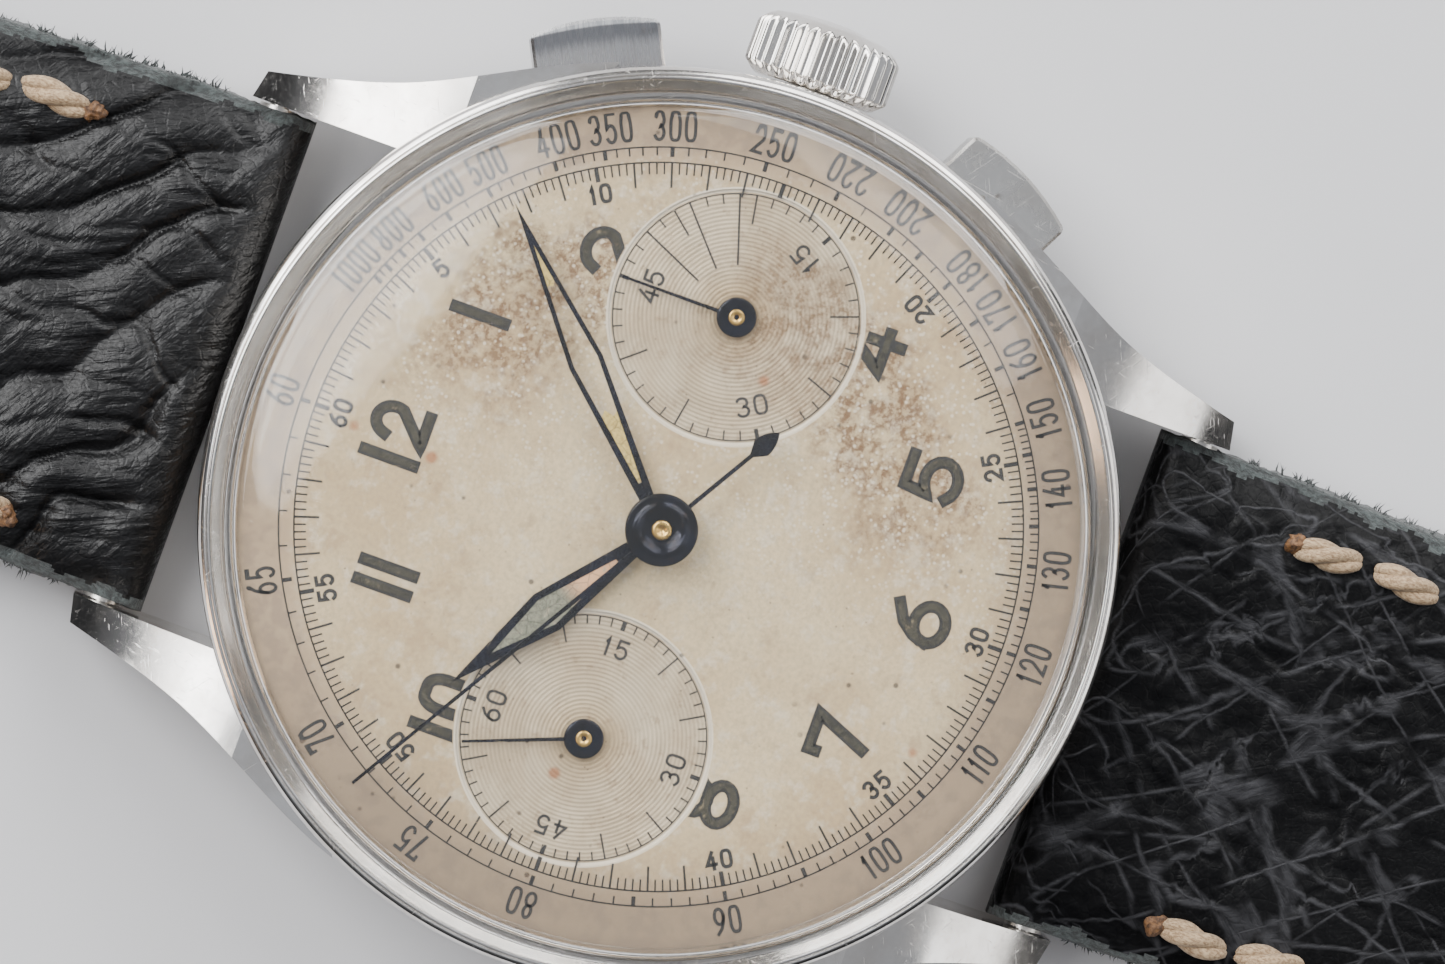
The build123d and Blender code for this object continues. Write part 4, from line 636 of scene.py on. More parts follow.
def tachymeter():
    """Outer speed scale: angle is 21600 divided by the speed."""
    quads = circle(TACHY_TRACK_R, 0.06)
    marks = [(v, v % 5 == 0) for v in range(60, 150)]
    marks += [(v, v % 10 == 0) for v in range(150, 200, 5)]
    marks += [(v, v in (200, 220, 250, 300)) for v in range(200, 310, 10)]
    marks += [(v, v in (350, 400)) for v in range(310, 410, 10)]
    marks += [(v, False) for v in range(420, 500, 20)]
    marks += [(v, v % 100 == 0) for v in range(500, 1050, 50)]
    for speed, bold in marks:
        length, width = (0.37, 0.16) if bold else (0.32, 0.065)
        quads.append(tick(21600.0 / speed, TACHY_TRACK_R, length, width))
    for speed in (1000, 800, 600, 500, 400, 350, 300, 250, 220, 200, 180, 170, 160, 150, 140, 130, 120, 110,
                  100, 90, 80, 75, 70, 65, 60):
        # the crowded labels of the fast end are narrower and spread a little away from their marks
        spread = -0.6 if speed == 1000 else 1.3 if speed >= 350 else 0.3
        wide = 0.42 if speed >= 500 else 0.48
        quads += radial_number(str(speed), 21600.0 / speed + spread, TACHY_LABEL_R, wide, 1.08, 0.13, 0.11)
    return quads


def register_scale(x, count, kinds, number_places, number_r, wide, high):
    """A register's circle, marks and numbers, centred at x."""
    quads = circle(REGISTER_TRACK_R, 0.045, x, 160) + ticks(REGISTER_TRACK_R, count, kinds, x)
    for number in number_places:
        quads += radial_number(str(number), number * 360.0 / count, number_r, wide, high, 0.11, 0.14, x)
    return quads


def hour_numerals(strokes, inset, edge):
    """Quads of some strokes of the large hour numerals, cut where they meet the registers."""
    quads = []
    for hour in (1, 2, 4, 5, 6, 7, 8, 10, 11, 12):
        x, y = turn_clockwise(0.0, NUMERAL_R, hour * 30.0)
        wide = 1.95 if hour < 10 else 1.62
        quads += numeral(str(hour), x, y, wide, NUMERAL_HIGH, NUMERAL_PEN, NUMERAL_GAP, bold=True, step=0.08,
                         lanes=4, inset=inset, strokes=strokes)
    return clipped(quads, ((REGISTER_X, 0.0), (-REGISTER_X, 0.0)), RECESS_R + edge)


SECONDS_MARKS = ((range(0, 60, 15), (0.36, 0.18)), (range(0, 60, 5), (0.98, 0.07)), (range(60), (0.33, 0.06)))
MINUTES_MARKS = ((range(0, 45, 15), (0.38, 0.16)), ((3, 6, 9), (2.69, 0.075)),
                 (range(0, 45, 5), (1.1, 0.07)), (range(45), (0.37, 0.06)))
seconds_scale = register_scale(-REGISTER_X, 60, SECONDS_MARKS, (60, 15, 30, 45), 3.6, 0.52, 0.78)
minutes_scale = register_scale(REGISTER_X, 45, MINUTES_MARKS, (45, 15, 30), 3.4, 0.54, 0.8)
for print_name, quads, level in (("minute_track_print", minute_track(), DIAL_TOP),
                                 ("tachymeter_print", tachymeter(), DIAL_TOP),
                                 ("seconds_register_print", seconds_scale, REGISTER_FLOOR),
                                 ("minutes_register_print", minutes_scale, REGISTER_FLOOR)):
    prism(print_name, quads, level - 0.01, level + INK_HIGH, black_ink)
for stroke_name, strokes, lift in (("first", (0,), 0.0), ("second", (1, 2), 0.006)):
    prism("hour_numeral_outline_" + stroke_name, hour_numerals(strokes, 0.0, 0.1), DIAL_TOP - 0.01,
          DIAL_TOP + INK_HIGH + lift, dark_outline)
    prism("hour_numeral_fill_" + stroke_name, hour_numerals(strokes, LUME_INSET, 0.1 + LUME_INSET),
          DIAL_TOP - 0.008, DIAL_TOP + 0.05 + lift, numeral_lume)


# ---------------------------------------------------------------- luminous filling of the hands
def hand_fill(name, outline, low, high, angle, material, body):
    """A thin closed plate inside a hand's opening, from points along +Y before the hand is turned."""
    bm = bmesh.new()
    rings = [ring_of(bm, [(px, py, z) for px, py in placed(outline, angle)]) for z in (low, high)]
    join(bm, rings)
    cap(bm, rings)
    piece(name, finished(bm, name), [material], body)


hand_fill("hour_hand_lume", ((-0.12, 1.95), (-0.62, 5.3), (0.0, 8.1), (0.62, 5.3), (0.12, 1.95)),
          7.965, 8.04, HOUR_ANGLE, hour_lume, "hour")
hand_fill("minute_hand_lume",
          ((-0.12, 1.95), (-0.34, 4.7), (-0.1, 4.95), (0.12, 4.6), (0.33, 4.75), (0.12, 1.95)),
          8.315, 8.385, MINUTE_ANGLE, minute_lume, "minute")
hand_fill("minute_hand_lume_tip",
          ((-0.26, 10.1), (-0.06, 11.75), (0.06, 11.75), (0.26, 10.35), (0.05, 10.0)),
          8.315, 8.385, MINUTE_ANGLE, minute_lume, "minute")


# ---------------------------------------------------------------- crystal
def crystal_material():
    """Old acrylic: clear, slightly warm, with fine polishing marks. It lets light through to the dial."""
    g = Graph("acrylic_crystal")
    scratches = g.strongest(g.fibres(0.35, 9.0, 3.0, 57.0), g.fibres(0.35, 8.0, 3.0, -14.0),
                            g.fibres(0.35, 10.0, 3.0, 104.0))
    marks = g.span(scratches, 0.72, 0.78)
    glass = g.node("ShaderNodeBsdfPrincipled", {"Base Color": (1.0, 0.995, 0.985, 1.0), "IOR": 1.49,
                                                "Transmission Weight": 1.0,
                                                "Roughness": g.span(marks, 0.0, 1.0, 0.05, 0.16),
                                                "Normal": g.bump(marks, 0.12, -0.003)})
    clear = g.node("ShaderNodeBsdfTransparent", {"Color": (0.97, 0.965, 0.95, 1.0)})
    path = g.node("ShaderNodeLightPath", {})
    unlit = g.strongest(path.outputs["Is Shadow Ray"], path.outputs["Is Diffuse Ray"])
    both = g.node("ShaderNodeMixShader", {0: unlit, 1: glass.outputs[0], 2: clear.outputs[0]})
    return g.surface(both.outputs[0])


def sphere_arc(top, edge_r, edge_z, count):
    """Profile points of a dome centred on the axis, from its edge to its top."""
    rise = top - edge_z
    radius = (edge_r * edge_r + rise * rise) / (2 * rise)
    reach = math.asin(edge_r / radius)
    turns = [reach * (1 - k / count) for k in range(count + 1)]
    return [(radius * math.sin(turn), top - radius + radius * math.cos(turn)) for turn in turns]


def three_point_bend(a, m, b, count):
    """Smooth profile points from a over m to b."""
    made = []
    for k in range(count + 1):
        t = k / count
        mid = [2 * m[j] - 0.5 * a[j] - 0.5 * b[j] for j in (0, 1)]
        made.append(tuple((1 - t) ** 2 * a[j] + 2 * t * (1 - t) * mid[j] + t * t * b[j] for j in (0, 1)))
    return made


def lathe(name, profile, count=256, closed=False, shape=None, frame=Matrix.Identity(4)):
    """Closed solid of turning about Z, in millimetres. The profile starts and ends on the axis, or is a
    closed loop. shape(r, angle) may cut the radius, and frame places the solid."""
    def turned(r, z, k):
        angle = 2 * math.pi * k / count
        r = shape(r, angle) if shape else r
        return frame @ Vector((r * math.cos(angle) * MM, r * math.sin(angle) * MM, z * MM))
    bm = bmesh.new()
    inner = profile if closed else profile[1:-1]
    rings = [[bm.verts.new(turned(r, z, k)) for k in range(count)] for r, z in inner]
    join(bm, rings, closed)
    if not closed:
        for end, ring in ((profile[0], rings[0]), (profile[-1], rings[-1])):
            pole = bm.verts.new(turned(0.0, end[1], 0))
            for k in range(count):
                bm.faces.new((pole, ring[k], ring[(k + 1) % count]))
    return finished(bm, name)


outside = list(reversed(sphere_arc(12.7, 15.6, 10.8, 40)))
outside += three_point_bend((15.6, 10.8), (16.3, 10.35), (16.6, 9.5), 10)[1:]
outside += [(16.6, 9.45), (16.6, 7.7), (16.55, 7.62)]
underside = [(15.95, 7.62), (15.92, 7.7)] + three_point_bend((15.92, 9.3), (15.86, 9.62), (15.6, 9.78), 8)
underside += sphere_arc(11.6, 15.6, 9.78, 40)[1:]
crystal = piece("domed_crystal", lathe("domed_crystal", outside + underside), [crystal_material()], "case",
                smooth=True)
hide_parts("crystal")


# ---------------------------------------------------------------- hubs of the hands
CENTRE_CAP = ((0.0, 8.98), (1.35, 8.98), (1.38, 9.03), (1.36, 9.1), (1.3, 9.14), (1.22, 9.12), (1.02, 9.1),
              (0.99, 9.15), (0.93, 9.2), (0.86, 9.2), (0.8, 9.15), (0.75, 9.11), (0.0, 9.11))
CENTRE_PIN = ((0.0, 9.05), (0.38, 9.05), (0.38, 9.21), (0.31, 9.27), (0.17, 9.25), (0.12, 9.15), (0.0, 9.14))
SMALL_CAP = ((0.0, 7.8), (0.73, 7.8), (0.76, 7.84), (0.73, 7.9), (0.66, 7.92), (0.44, 7.9), (0.0, 7.9))
SMALL_PIN = ((0.0, 7.84), (0.31, 7.84), (0.31, 7.94), (0.26, 7.98), (0.14, 7.96), (0.1, 7.9), (0.0, 7.89))
for hub, x, cap_profile, pin_profile in (("chronograph", 0.0, CENTRE_CAP, CENTRE_PIN),
                                         ("running_seconds", -REGISTER_X, SMALL_CAP, SMALL_PIN),
                                         ("minute_counter", REGISTER_X, SMALL_CAP, SMALL_PIN)):
    hub_frame = Matrix.Translation((x * MM, 0, 0))
    for part_name, profile, material in (("hub_cap", cap_profile, polished_blued_steel),
                                         ("hub_pin", pin_profile, brass)):
        made_name = hub + "_" + part_name
        piece(made_name, lathe(made_name, profile, 96, frame=hub_frame), [material], hub,
              smooth=True)


# ---------------------------------------------------------------- bezel and crown
def bevelled(points, size):
    """A closed profile with each corner cut by a small two-step bevel, so that edges catch light."""
    made = []
    for k, point in enumerate(points):
        here = Vector(point)
        to_before = Vector(points[k - 1]) - here
        to_after = Vector(points[(k + 1) % len(points)]) - here
        cut = min(size, to_before.length * 0.3, to_after.length * 0.3)
        a, b = here + to_before.normalized() * cut, here + to_after.normalized() * cut
        made += [tuple(a), tuple((a + b + here * 2) / 4), tuple(b)]
    return made


BEZEL_PROFILE = ((16.62, 7.62), (17.4, 7.62), (17.5, 7.72), (17.5, 8.7), (17.46, 8.92), (17.36, 9.08),
                 (17.24, 9.15), (17.19, 9.16), (17.165, 9.12), (17.14, 9.17), (17.08, 9.195), (17.0, 9.17),
                 (16.96, 9.12), (16.62, 8.87))
bezel = piece("polished_bezel", lathe("polished_bezel", bevelled(BEZEL_PROFILE, 0.02), 360, closed=True),
              [polished_steel], "case", smooth=True)
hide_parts("bezel")

CROWN_FLUTES = 34
CROWN_R = 2.875
STEM_Z = 4.2


def fluted(r, angle):
    """Cuts scallops into the crown wherever its body stands above their floor."""
    share = (angle * CROWN_FLUTES / (2 * math.pi)) % 1.0 - 0.5
    floor_r = CROWN_R + 0.02 - 0.33 * math.cos(math.pi * share) ** 0.75
    return min(r, floor_r) if r > 2.0 else r


crown_side = [(2.3, 17.6), (2.42, 17.66), (2.8, 17.98), (2.86, 18.05)]
crown_side += [(CROWN_R, 18.12 + 0.125 * k) for k in range(12)]
crown_side += [(2.85, 19.62), (2.78, 19.72), (2.7, 19.8), (2.6, 19.9), (2.5, 19.98), (2.4, 20.05)]
crown_side += [(2.3, 20.12)]
crown_dome = [(2.3 * (1 - k / 10), 20.12 + 0.28 * (1 - (1 - k / 10) ** 2)) for k in range(1, 11)]
crown_inside = [(0.0, 19.2), (0.5, 19.2), (0.5, 18.4), (1.2, 18.4), (1.2, 17.6)]
stem_frame = Matrix.Translation((0, 0, STEM_Z * MM)) @ Matrix.Rotation(math.pi / 2, 4, "Y")
crown_mesh = lathe("fluted_crown", crown_inside + crown_side + crown_dome, CROWN_FLUTES * 12, shape=fluted,
                   frame=stem_frame)
crown = piece("fluted_crown", crown_mesh, [polished_steel], "crown", smooth=True)
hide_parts("crown")


# ---------------------------------------------------------------- leather
def leather_material(name, web, folds, gloss):
    """Black grained leather: fine wrinkles by folds and, by web, a net of lighter fibrous creases whose light
    colour is partly the leather's own and partly painted highlight on the crease ridges.
    """
    g = Graph(name)
    pore = g.noise(7.0, 4.0, 0.65)
    patch = g.noise(0.3, 4.0, 0.6)
    g.base = g.mix(g.span(patch, 0.35, 0.7), (6, 6, 7), (12, 12, 13))
    wrinkles = g.fibres(0.5, 2.6, 1.0, -66.0, 3.0, 0.55)
    cross = g.fibres(0.6, 2.2, 1.0, -32.0, 3.0, 0.55)
    fine = g.mix(g.span(g.noise(0.33, 2.0), 0.42, 0.58), wrinkles, cross)
    creases = []
    for k, (along, across, turn, share) in enumerate(((0.05, 0.42, -56.0, 1.0), (0.05, 0.36, -68.0, 0.8),
                                                      (0.06, 0.42, 80.0, 0.9), (0.06, 0.44, 46.0, 0.7),
                                                      (0.06, 0.42, -34.0, 0.7))):
        line = g.lines(along, across, turn, 0.028, 0.6, 11.0 * k)
        line = g.times(line, g.span(g.noise(0.3 + 0.05 * k, 2.0), 0.38, 0.54, 0.0, share))
        creases.append(g.times(line, g.span(g.fibres(1.1, 6.0, 1.0, turn), 0.34, 0.6, 0.45, 1.0)))
    net = g.strongest(*creases)
    # the lighter net is partly painted highlight on the crease ridges
    g.tint(g.times(net, web), (70, 70, 73))
    g.tint(g.span(pore, 0.6, 0.8, 0.0, 0.12), (66, 66, 72))
    normal = g.bump(fine, folds, 0.16)
    normal = g.bump(net, 0.6 * web, 0.06, normal)
    normal = g.bump(g.span(g.cells(2.4, "DISTANCE_TO_EDGE"), 0.0, 0.16), 0.25, 0.03, normal)
    normal = g.bump(pore, 0.35, 0.025, normal)
    return g.shader(Roughness=g.span(pore, 0.3, 0.75, 0.3, 0.54), Normal=normal, Specular_IOR_Level=gloss)


def suede_material():
    """Raw cut edge of the leather: fibrous, grey with a touch of green."""
    g = Graph("raw_suede_edge")
    fibres = g.fibres(3.0, 3.0, 12.0, 0.0, 4.0, 0.7)
    g.base = g.mix(g.span(fibres, 0.35, 0.68), (24, 27, 27), (64, 71, 70))
    g.tint(g.span(g.noise(0.8, 3.0, 0.6), 0.55, 0.7, 0.0, 0.6), (17, 19, 19))
    return g.shader(Roughness=0.95, Normal=g.bump(fibres, 0.8, 0.12), Sheen_Weight=0.2, Sheen_Roughness=0.6)


def lining_material():
    """Smooth dark lining leather, rubbed by the wrist."""
    g = Graph("lining_leather")
    grain = g.cells(2.6, "DISTANCE_TO_EDGE")
    g.base = g.mix(g.span(g.noise(0.25, 4.0, 0.6), 0.35, 0.65), (78, 65, 51), (92, 77, 60))
    g.tint(g.span(grain, 0.06, 0.0, 0.0, 0.5), (48, 40, 32))
    return g.shader(Roughness=g.span(g.noise(3.0), 0.3, 0.7, 0.5, 0.7), Normal=g.bump(grain, 0.3, 0.05))


def thread_material():
    """Waxed beige thread with fibres along its twist and soiled ends."""
    g = Graph("beige_thread")
    fibres = g.fibres(14.0, 5.0, 14.0, 0.0, 4.0, 0.65)
    g.base = g.mix(g.span(fibres, 0.35, 0.65), (178, 154, 122), (122, 97, 70))
    g.tint(g.span(g.noise(0.9, 3.0, 0.6), 0.58, 0.72, 0.0, 0.5), (112, 92, 70))
    return g.shader(Roughness=0.78, Normal=g.bump(fibres, 0.5, 0.05), Sheen_Weight=0.15)


def knot_material():
    """Singed thread end, brown and crusty."""
    g = Graph("singed_knot")
    crust = g.noise(5.0, 5.0, 0.7)
    g.base = g.mix(g.span(crust, 0.35, 0.65), (120, 84, 50), (60, 40, 25))
    return g.shader(Roughness=g.span(crust, 0.3, 0.7, 0.45, 0.75), Normal=g.bump(crust, 0.7, 0.1))


wrinkled_leather = leather_material("wrinkled_black_leather", 0.06, 0.9, 0.3)
crackled_leather = leather_material("crackled_black_leather", 0.62, 0.3, 0.11)
suede_edge = suede_material()
lining_leather = lining_material()
beige_thread = thread_material()
singed_knot = knot_material()


def hashed(ix, iy, seed):
    """Repeatable random value between 0 and 1 at whole-number places."""
    value = np.sin(ix * 127.1 + iy * 311.7 + seed * 74.7) * 43758.5453
    return value - np.floor(value)


def value_noise(x, y, seed):
    """Smooth noise between -1 and 1 over arrays of places."""
    ix, iy = np.floor(x), np.floor(y)
    fx, fy = x - ix, y - iy
    fx, fy = fx * fx * (3 - 2 * fx), fy * fy * (3 - 2 * fy)
    low = hashed(ix, iy, seed) * (1 - fx) + hashed(ix + 1, iy, seed) * fx
    high = hashed(ix, iy + 1, seed) * (1 - fx) + hashed(ix + 1, iy + 1, seed) * fx
    return 2 * (low * (1 - fy) + high * fy) - 1


def layered_noise(x, y, seed, octaves=4):
    total, size = 0.0, 1.0
    for k in range(octaves):
        total = total + size * value_noise(x * 2 ** k, y * 2 ** k, seed + k)
        size *= 0.55
    return total


def noise_at(x, y, seed, octaves):
    """Layered noise at one place."""
    return float(layered_noise(np.array(x), np.array(y), seed, octaves))


STRAP_TOP_BUCKLE = ((19, 4.2), (24, 4.0), (40, 3.2), (60, 2.9), (76, 3.5), (94, 3.5))
STRAP_LOW_BUCKLE = ((19, 1.0), (23.5, 0.5), (30, 0.1), (45, 0.02), (60, 0.15), (76, 1.1), (94, 1.1))
STRAP_TOP_HOLE = ((19, 4.2), (24, 4.0), (40, 3.3), (70, 2.7), (134, 2.2))
STRAP_LOW_HOLE = ((19, 1.0), (23.5, 0.5), (30, 0.1), (45, 0.02), (60, 0.02), (134, 0.02))


def along_profile(points, y):
    """Smooth height at a distance along the strap."""
    ys = np.array([p[0] for p in points], float)
    zs = np.array([p[1] for p in points], float)
    smooth = sum(np.interp(y + shift, ys, zs) for shift in (-1.6, -0.8, 0.0, 0.8, 1.6)) / 5
    return np.where(y < ys[0] + 1.6, np.interp(y, ys, zs), smooth)


class StrapHalf:
    """One half of the strap: its body and its outline along +Y, and whether its pieces turn round to -Y."""

    def __init__(self, body, top_profile, low_profile, taper_end, tip=None, turned_round=False):
        self.body = body
        self.top_profile = top_profile
        self.low_profile = low_profile
        self.taper_end = taper_end
        self.tip = tip
        self.turned_round = turned_round

    def top(self, y):
        return float(along_profile(self.top_profile, y))

    def low(self, y):
        return float(along_profile(self.low_profile, y))

    def half_width(self, y):
        half = np.interp(y, [22.0, self.taper_end], [9.95, 8.1])
        if self.tip is not None:
            t = np.clip((y - self.tip[0]) / (self.tip[1] - self.tip[0]), 0, 1)
            half = half * np.sqrt(np.clip(1 - t ** 2.4, 0, 1))
        return float(half)

    def piece(self, name, mesh, materials, smooth=True):
        """A piece of this half from its mesh along +Y."""
        if self.turned_round:
            mesh.transform(Matrix.Rotation(math.pi, 4, "Z"))
        return piece(name, mesh, materials, self.body, smooth)


buckle_half = StrapHalf("strap_buckle_side", STRAP_TOP_BUCKLE, STRAP_LOW_BUCKLE, 72.0)
hole_half = StrapHalf("strap_hole_side", STRAP_TOP_HOLE, STRAP_LOW_HOLE, 90.0, (124.0, 134.05), True)
ACROSS = 150
UNDER = 24
EDGE = 5


def strap_row(half, y, wrinkle, seed):
    """Points round the strap's section at one distance: crowned top, raw edge, flat underside, raw edge."""
    half_wide, high, floor = half.half_width(y), half.top(y), half.low(y)
    if y < BAR_Y:
        lift = math.sqrt(max(LOOP_R ** 2 - (BAR_Y - y) ** 2, 0.0))
        high, floor = BAR_Z + lift, BAR_Z - lift
    thick = high - floor
    u = np.linspace(-1.0, 1.0, ACROSS + 1)
    x_top = u * half_wide
    from_edge = (1 - np.abs(u)) * half_wide
    # the padded top falls away to a thin seam at the edges
    pad = 1 - (1 - np.clip(from_edge / 3.4, 0, 1)) ** 2.2
    seam = min(0.95, thick * 0.38)
    z_top = high - seam * (1 - pad) * min(1.0, (y - 17.4) / 2.2)
    fade = min(1.0, max(0.0, (y - 18.2) / 1.6)) * np.clip(from_edge / 0.5, 0, 1)
    z_top = np.minimum(z_top + wrinkle(x_top, np.full_like(u, y)) * fade, high + 0.12)
    row = [(x, y, z) for x, z in zip(x_top, z_top)]
    low_u = np.linspace(1.0, -1.0, UNDER + 1)
    uneven = np.abs(layered_noise(low_u * 5, np.full_like(low_u, y * 0.4), seed + 5, 2))
    z_low = floor + 0.05 * uneven * min(1.0, thick)
    low_row = [(x, y, z) for x, z in zip(low_u * half_wide, z_low)]
    for side, start, steps in ((1, z_top[-1], range(1, EDGE)), (-1, z_top[0], range(EDGE - 1, 0, -1))):
        for k in steps:
            t = k / EDGE
            wobble = 0.1 * noise_at(y * 1.3 + 40 * side, t * 2.7, seed + 3, 4)
            x = side * (half_wide + wobble + 0.07 * math.sin(math.pi * t))
            row.append((x, y, start + (floor - start) * t))
        if side > 0:
            row += low_row
    return row


def strap_mesh(name, half, distances, wrinkle, seed):
    """Closed strap lofted through a row of points at each distance from the watch."""
    bm = bmesh.new()
    rings = [ring_of(bm, strap_row(half, y, wrinkle, seed)) for y in distances]
    join(bm, rings)
    cap(bm, rings)
    bmesh.ops.recalc_face_normals(bm, faces=bm.faces)
    for face in bm.faces:
        place = face.calc_center_median() / MM
        cut_back = 0.42 + 0.22 * noise_at(place.y * 1.1, 0.0, seed + 12, 3)
        if abs(place.x) > half.half_width(place.y) - cut_back:
            face.material_index = 1
        elif face.normal.z < -0.5:
            face.material_index = 2
        face.smooth = True
    return finished(bm, name)


def crease_lines(x, y, turn, spacing, width, seed, wander):
    """Crease depth 0 to 1 along wandering parallel lines, with the distance from the nearest line."""
    a = math.radians(turn)
    along = x * math.cos(a) + y * math.sin(a)
    across = y * math.cos(a) - x * math.sin(a)
    across = across + wander * layered_noise(along * 0.14, across * 0.17, seed, 3)
    cell = across / spacing + 0.2 * layered_noise(along * 0.1, across * 0.3, seed + 5, 2)
    off = np.abs(cell - np.floor(cell) - 0.5) * spacing
    return np.exp(-(off / width) ** 2), off


def deep_wrinkles(x, y):
    """Deep slanting folds about 3 mm apart with soft pillows between them and smaller folds across."""
    main, off = crease_lines(x, y, -52.0, 2.9, 0.2, 3, 1.3)
    second, _ = crease_lines(x, y, 70.0, 2.6, 0.15, 23, 1.6)
    third, _ = crease_lines(x, y, -78.0, 1.7, 0.12, 43, 1.2)
    pillow = 1 - np.exp(-(off / 0.75) ** 1.6)
    strong = np.clip(0.8 + 0.5 * layered_noise(x * 0.2, y * 0.2, 13, 2), 0.35, 1.2)
    broken = np.clip(0.35 + 0.9 * layered_noise(x * 0.28, y * 0.28, 17, 2), 0.0, 1.0)
    patchy = np.clip(0.3 + 0.9 * layered_noise(x * 0.35 + 7, y * 0.35, 19, 2), 0.0, 1.0)
    near = 0.5 + 0.5 * np.exp(-np.maximum(y - 26, 0) / 30.0)
    height = 0.24 * (pillow - 0.8) - 0.3 * main * strong - 0.17 * second * broken - 0.12 * third * patchy
    return (height + 0.05 * layered_noise(x * 0.8, y * 0.8, 29, 3)) * near


def crackled(x, y):
    """Shallow net of creases between soft flat cells."""
    bent_x = x + 0.7 * layered_noise(x * 0.35, y * 0.35, 5, 3)
    bent_y = y + 0.7 * layered_noise(x * 0.35 + 9, y * 0.35, 6, 3)
    net = 1 - np.abs(layered_noise(bent_x * 0.45, bent_y * 0.45, 31, 4))
    return -(net ** 4) * 0.12 + 0.05 * layered_noise(x * 1.1, y * 1.1, 37, 3)


def stations(end):
    """Distances along the strap: close together near the lugs, wider further out."""
    bar = [17.4 + 1.6 * (1 - math.cos(math.pi / 2 * k / 7)) for k in range(1, 7)]
    return bar + list(np.arange(BAR_Y, FINE_TO_Y, 0.14)) + list(np.arange(FINE_TO_Y, end, 0.8)) + [end]


def punched(mesh, places, radius):
    """The strap with round holes cut through it, lined with raw leather."""
    bm = bmesh.new()
    for y in places:
        bmesh.ops.create_cone(bm, cap_ends=True, segments=28, radius1=radius * MM, radius2=radius * MM,
                              depth=8 * MM, matrix=Matrix.Translation((0, y * MM, 0)))
    for face in bm.faces:
        face.material_index = 1
    cutter_mesh = bpy.data.meshes.new("punch")
    bm.to_mesh(cutter_mesh)
    bm.free()
    blank, cutter = in_scene("blank", mesh), in_scene("punch", cutter_mesh)
    for made in (blank, cutter):
        for material in (crackled_leather, suede_edge, lining_leather):
            made.data.materials.append(material)
    cut = blank.modifiers.new("cut", "BOOLEAN")
    cut.operation = "DIFFERENCE"
    cut.solver = "EXACT"
    cut.object = cutter
    result = bpy.data.meshes.new_from_object(blank.evaluated_get(bpy.context.evaluated_depsgraph_get()))
    for made in (blank, cutter):
        bpy.data.objects.remove(made)
    return result


buckle_mesh = strap_mesh("strap_buckle_leather", buckle_half, stations(89.6), deep_wrinkles, 1)
strap_buckle = buckle_half.piece("strap_buckle_leather", buckle_mesh,
                                 [wrinkled_leather, suede_edge, lining_leather], False)
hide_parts("strap_buckle_half", "strap_buckle_lining")
hole_mesh = strap_mesh("strap_hole_leather", hole_half, stations(133.9), crackled, 2)
hole_mesh = punched(hole_mesh, [FIRST_HOLE_Y - HOLE_STEP * k for k in range(HOLE_COUNT)], 0.9)
strap_hole = hole_half.piece("strap_hole_leather", hole_mesh, [], False)
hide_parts("strap_hole_half", "strap_hole_lining")


def strap_eye(name, x_from, x_to):
    """One half of the leather loop round the buckle's bar, as a closed ring drawn out along the bar."""
    outer = arc(BUCKLE_BAR_Y, BUCKLE_BAR_Z, 1.2, 1.2, -90, 90, 16)
    outer += [(BUCKLE_BAR_Y - 5.2 * k / 12, 3.5) for k in range(1, 13)]
    outer += [(88.8, 3.5 - 2.4 * k / 8) for k in range(1, 8)]
    outer += [(BUCKLE_BAR_Y - 5.2 * k / 12, 1.1) for k in range(12, 0, -1)]
    inner = arc(BUCKLE_BAR_Y, BUCKLE_BAR_Z, 0.75, 0.75, -90, 90, 16)
    inner += arc(BUCKLE_BAR_Y, BUCKLE_BAR_Z, 0.75, 0.75, 90, 270, len(outer) - 16)[1:-1]
    bm = bmesh.new()
    steps = 10
    skins, bores = [], []
    for k in range(steps + 1):
        x = x_from + (x_to - x_from) * k / steps
        tight = 0.12 if k in (0, steps) else 0.0
        skins.append(ring_of(bm, [(x, py - tight * (py > BUCKLE_BAR_Y),
                                   pz - tight * math.copysign(1, pz - BUCKLE_BAR_Z)) for py, pz in outer]))
        bores.append(ring_of(bm, [(x, py, pz) for py, pz in inner[:len(outer)]]))
    for rings in (skins, bores, (skins[0], bores[0]), (skins[-1], bores[-1])):
        join(bm, rings)
    bmesh.ops.recalc_face_normals(bm, faces=bm.faces)
    for face in bm.faces:
        face.material_index = 1 if abs(face.normal.x) > 0.8 else 0
    piece(name, finished(bm, name), [wrinkled_leather, suede_edge], "strap_buckle_side")


strap_eye("strap_eye_left", -8.1, -1.3)
strap_eye("strap_eye_right", 1.3, 8.1)

STITCH_LONG = 2.95
STITCH_PITCH = 3.3
PLY_R = 0.29


def stitch_plies(bm, x, start, drift, half):
    """Three twisted plies that rise out of one hole and sink into the next."""
    for ply in range(3):
        rings = []
        for j in range(21):
            t = j / 20
            y = start + t * STITCH_LONG
            swell = math.sin(math.pi * min(max(t, 0.025), 0.975)) ** 0.3
            turn = 2 * math.pi * (ply / 3 + 0.55 * t)
            z = half.top(y) - 0.5 + 0.5 * math.sin(math.pi * t) ** 0.45
            cx = x + drift * (t - 0.5) + PLY_R * swell * math.cos(turn)
            cz = z + 0.8 * PLY_R * swell * math.sin(turn)
            r = PLY_R * 1.12 * swell
            turns = [2 * math.pi * m / 10 for m in range(10)]
            rings.append(ring_of(bm, [(cx + r * math.cos(a), y, cz + r * math.sin(a)) for a in turns]))
        join(bm, rings)
        cap(bm, rings)


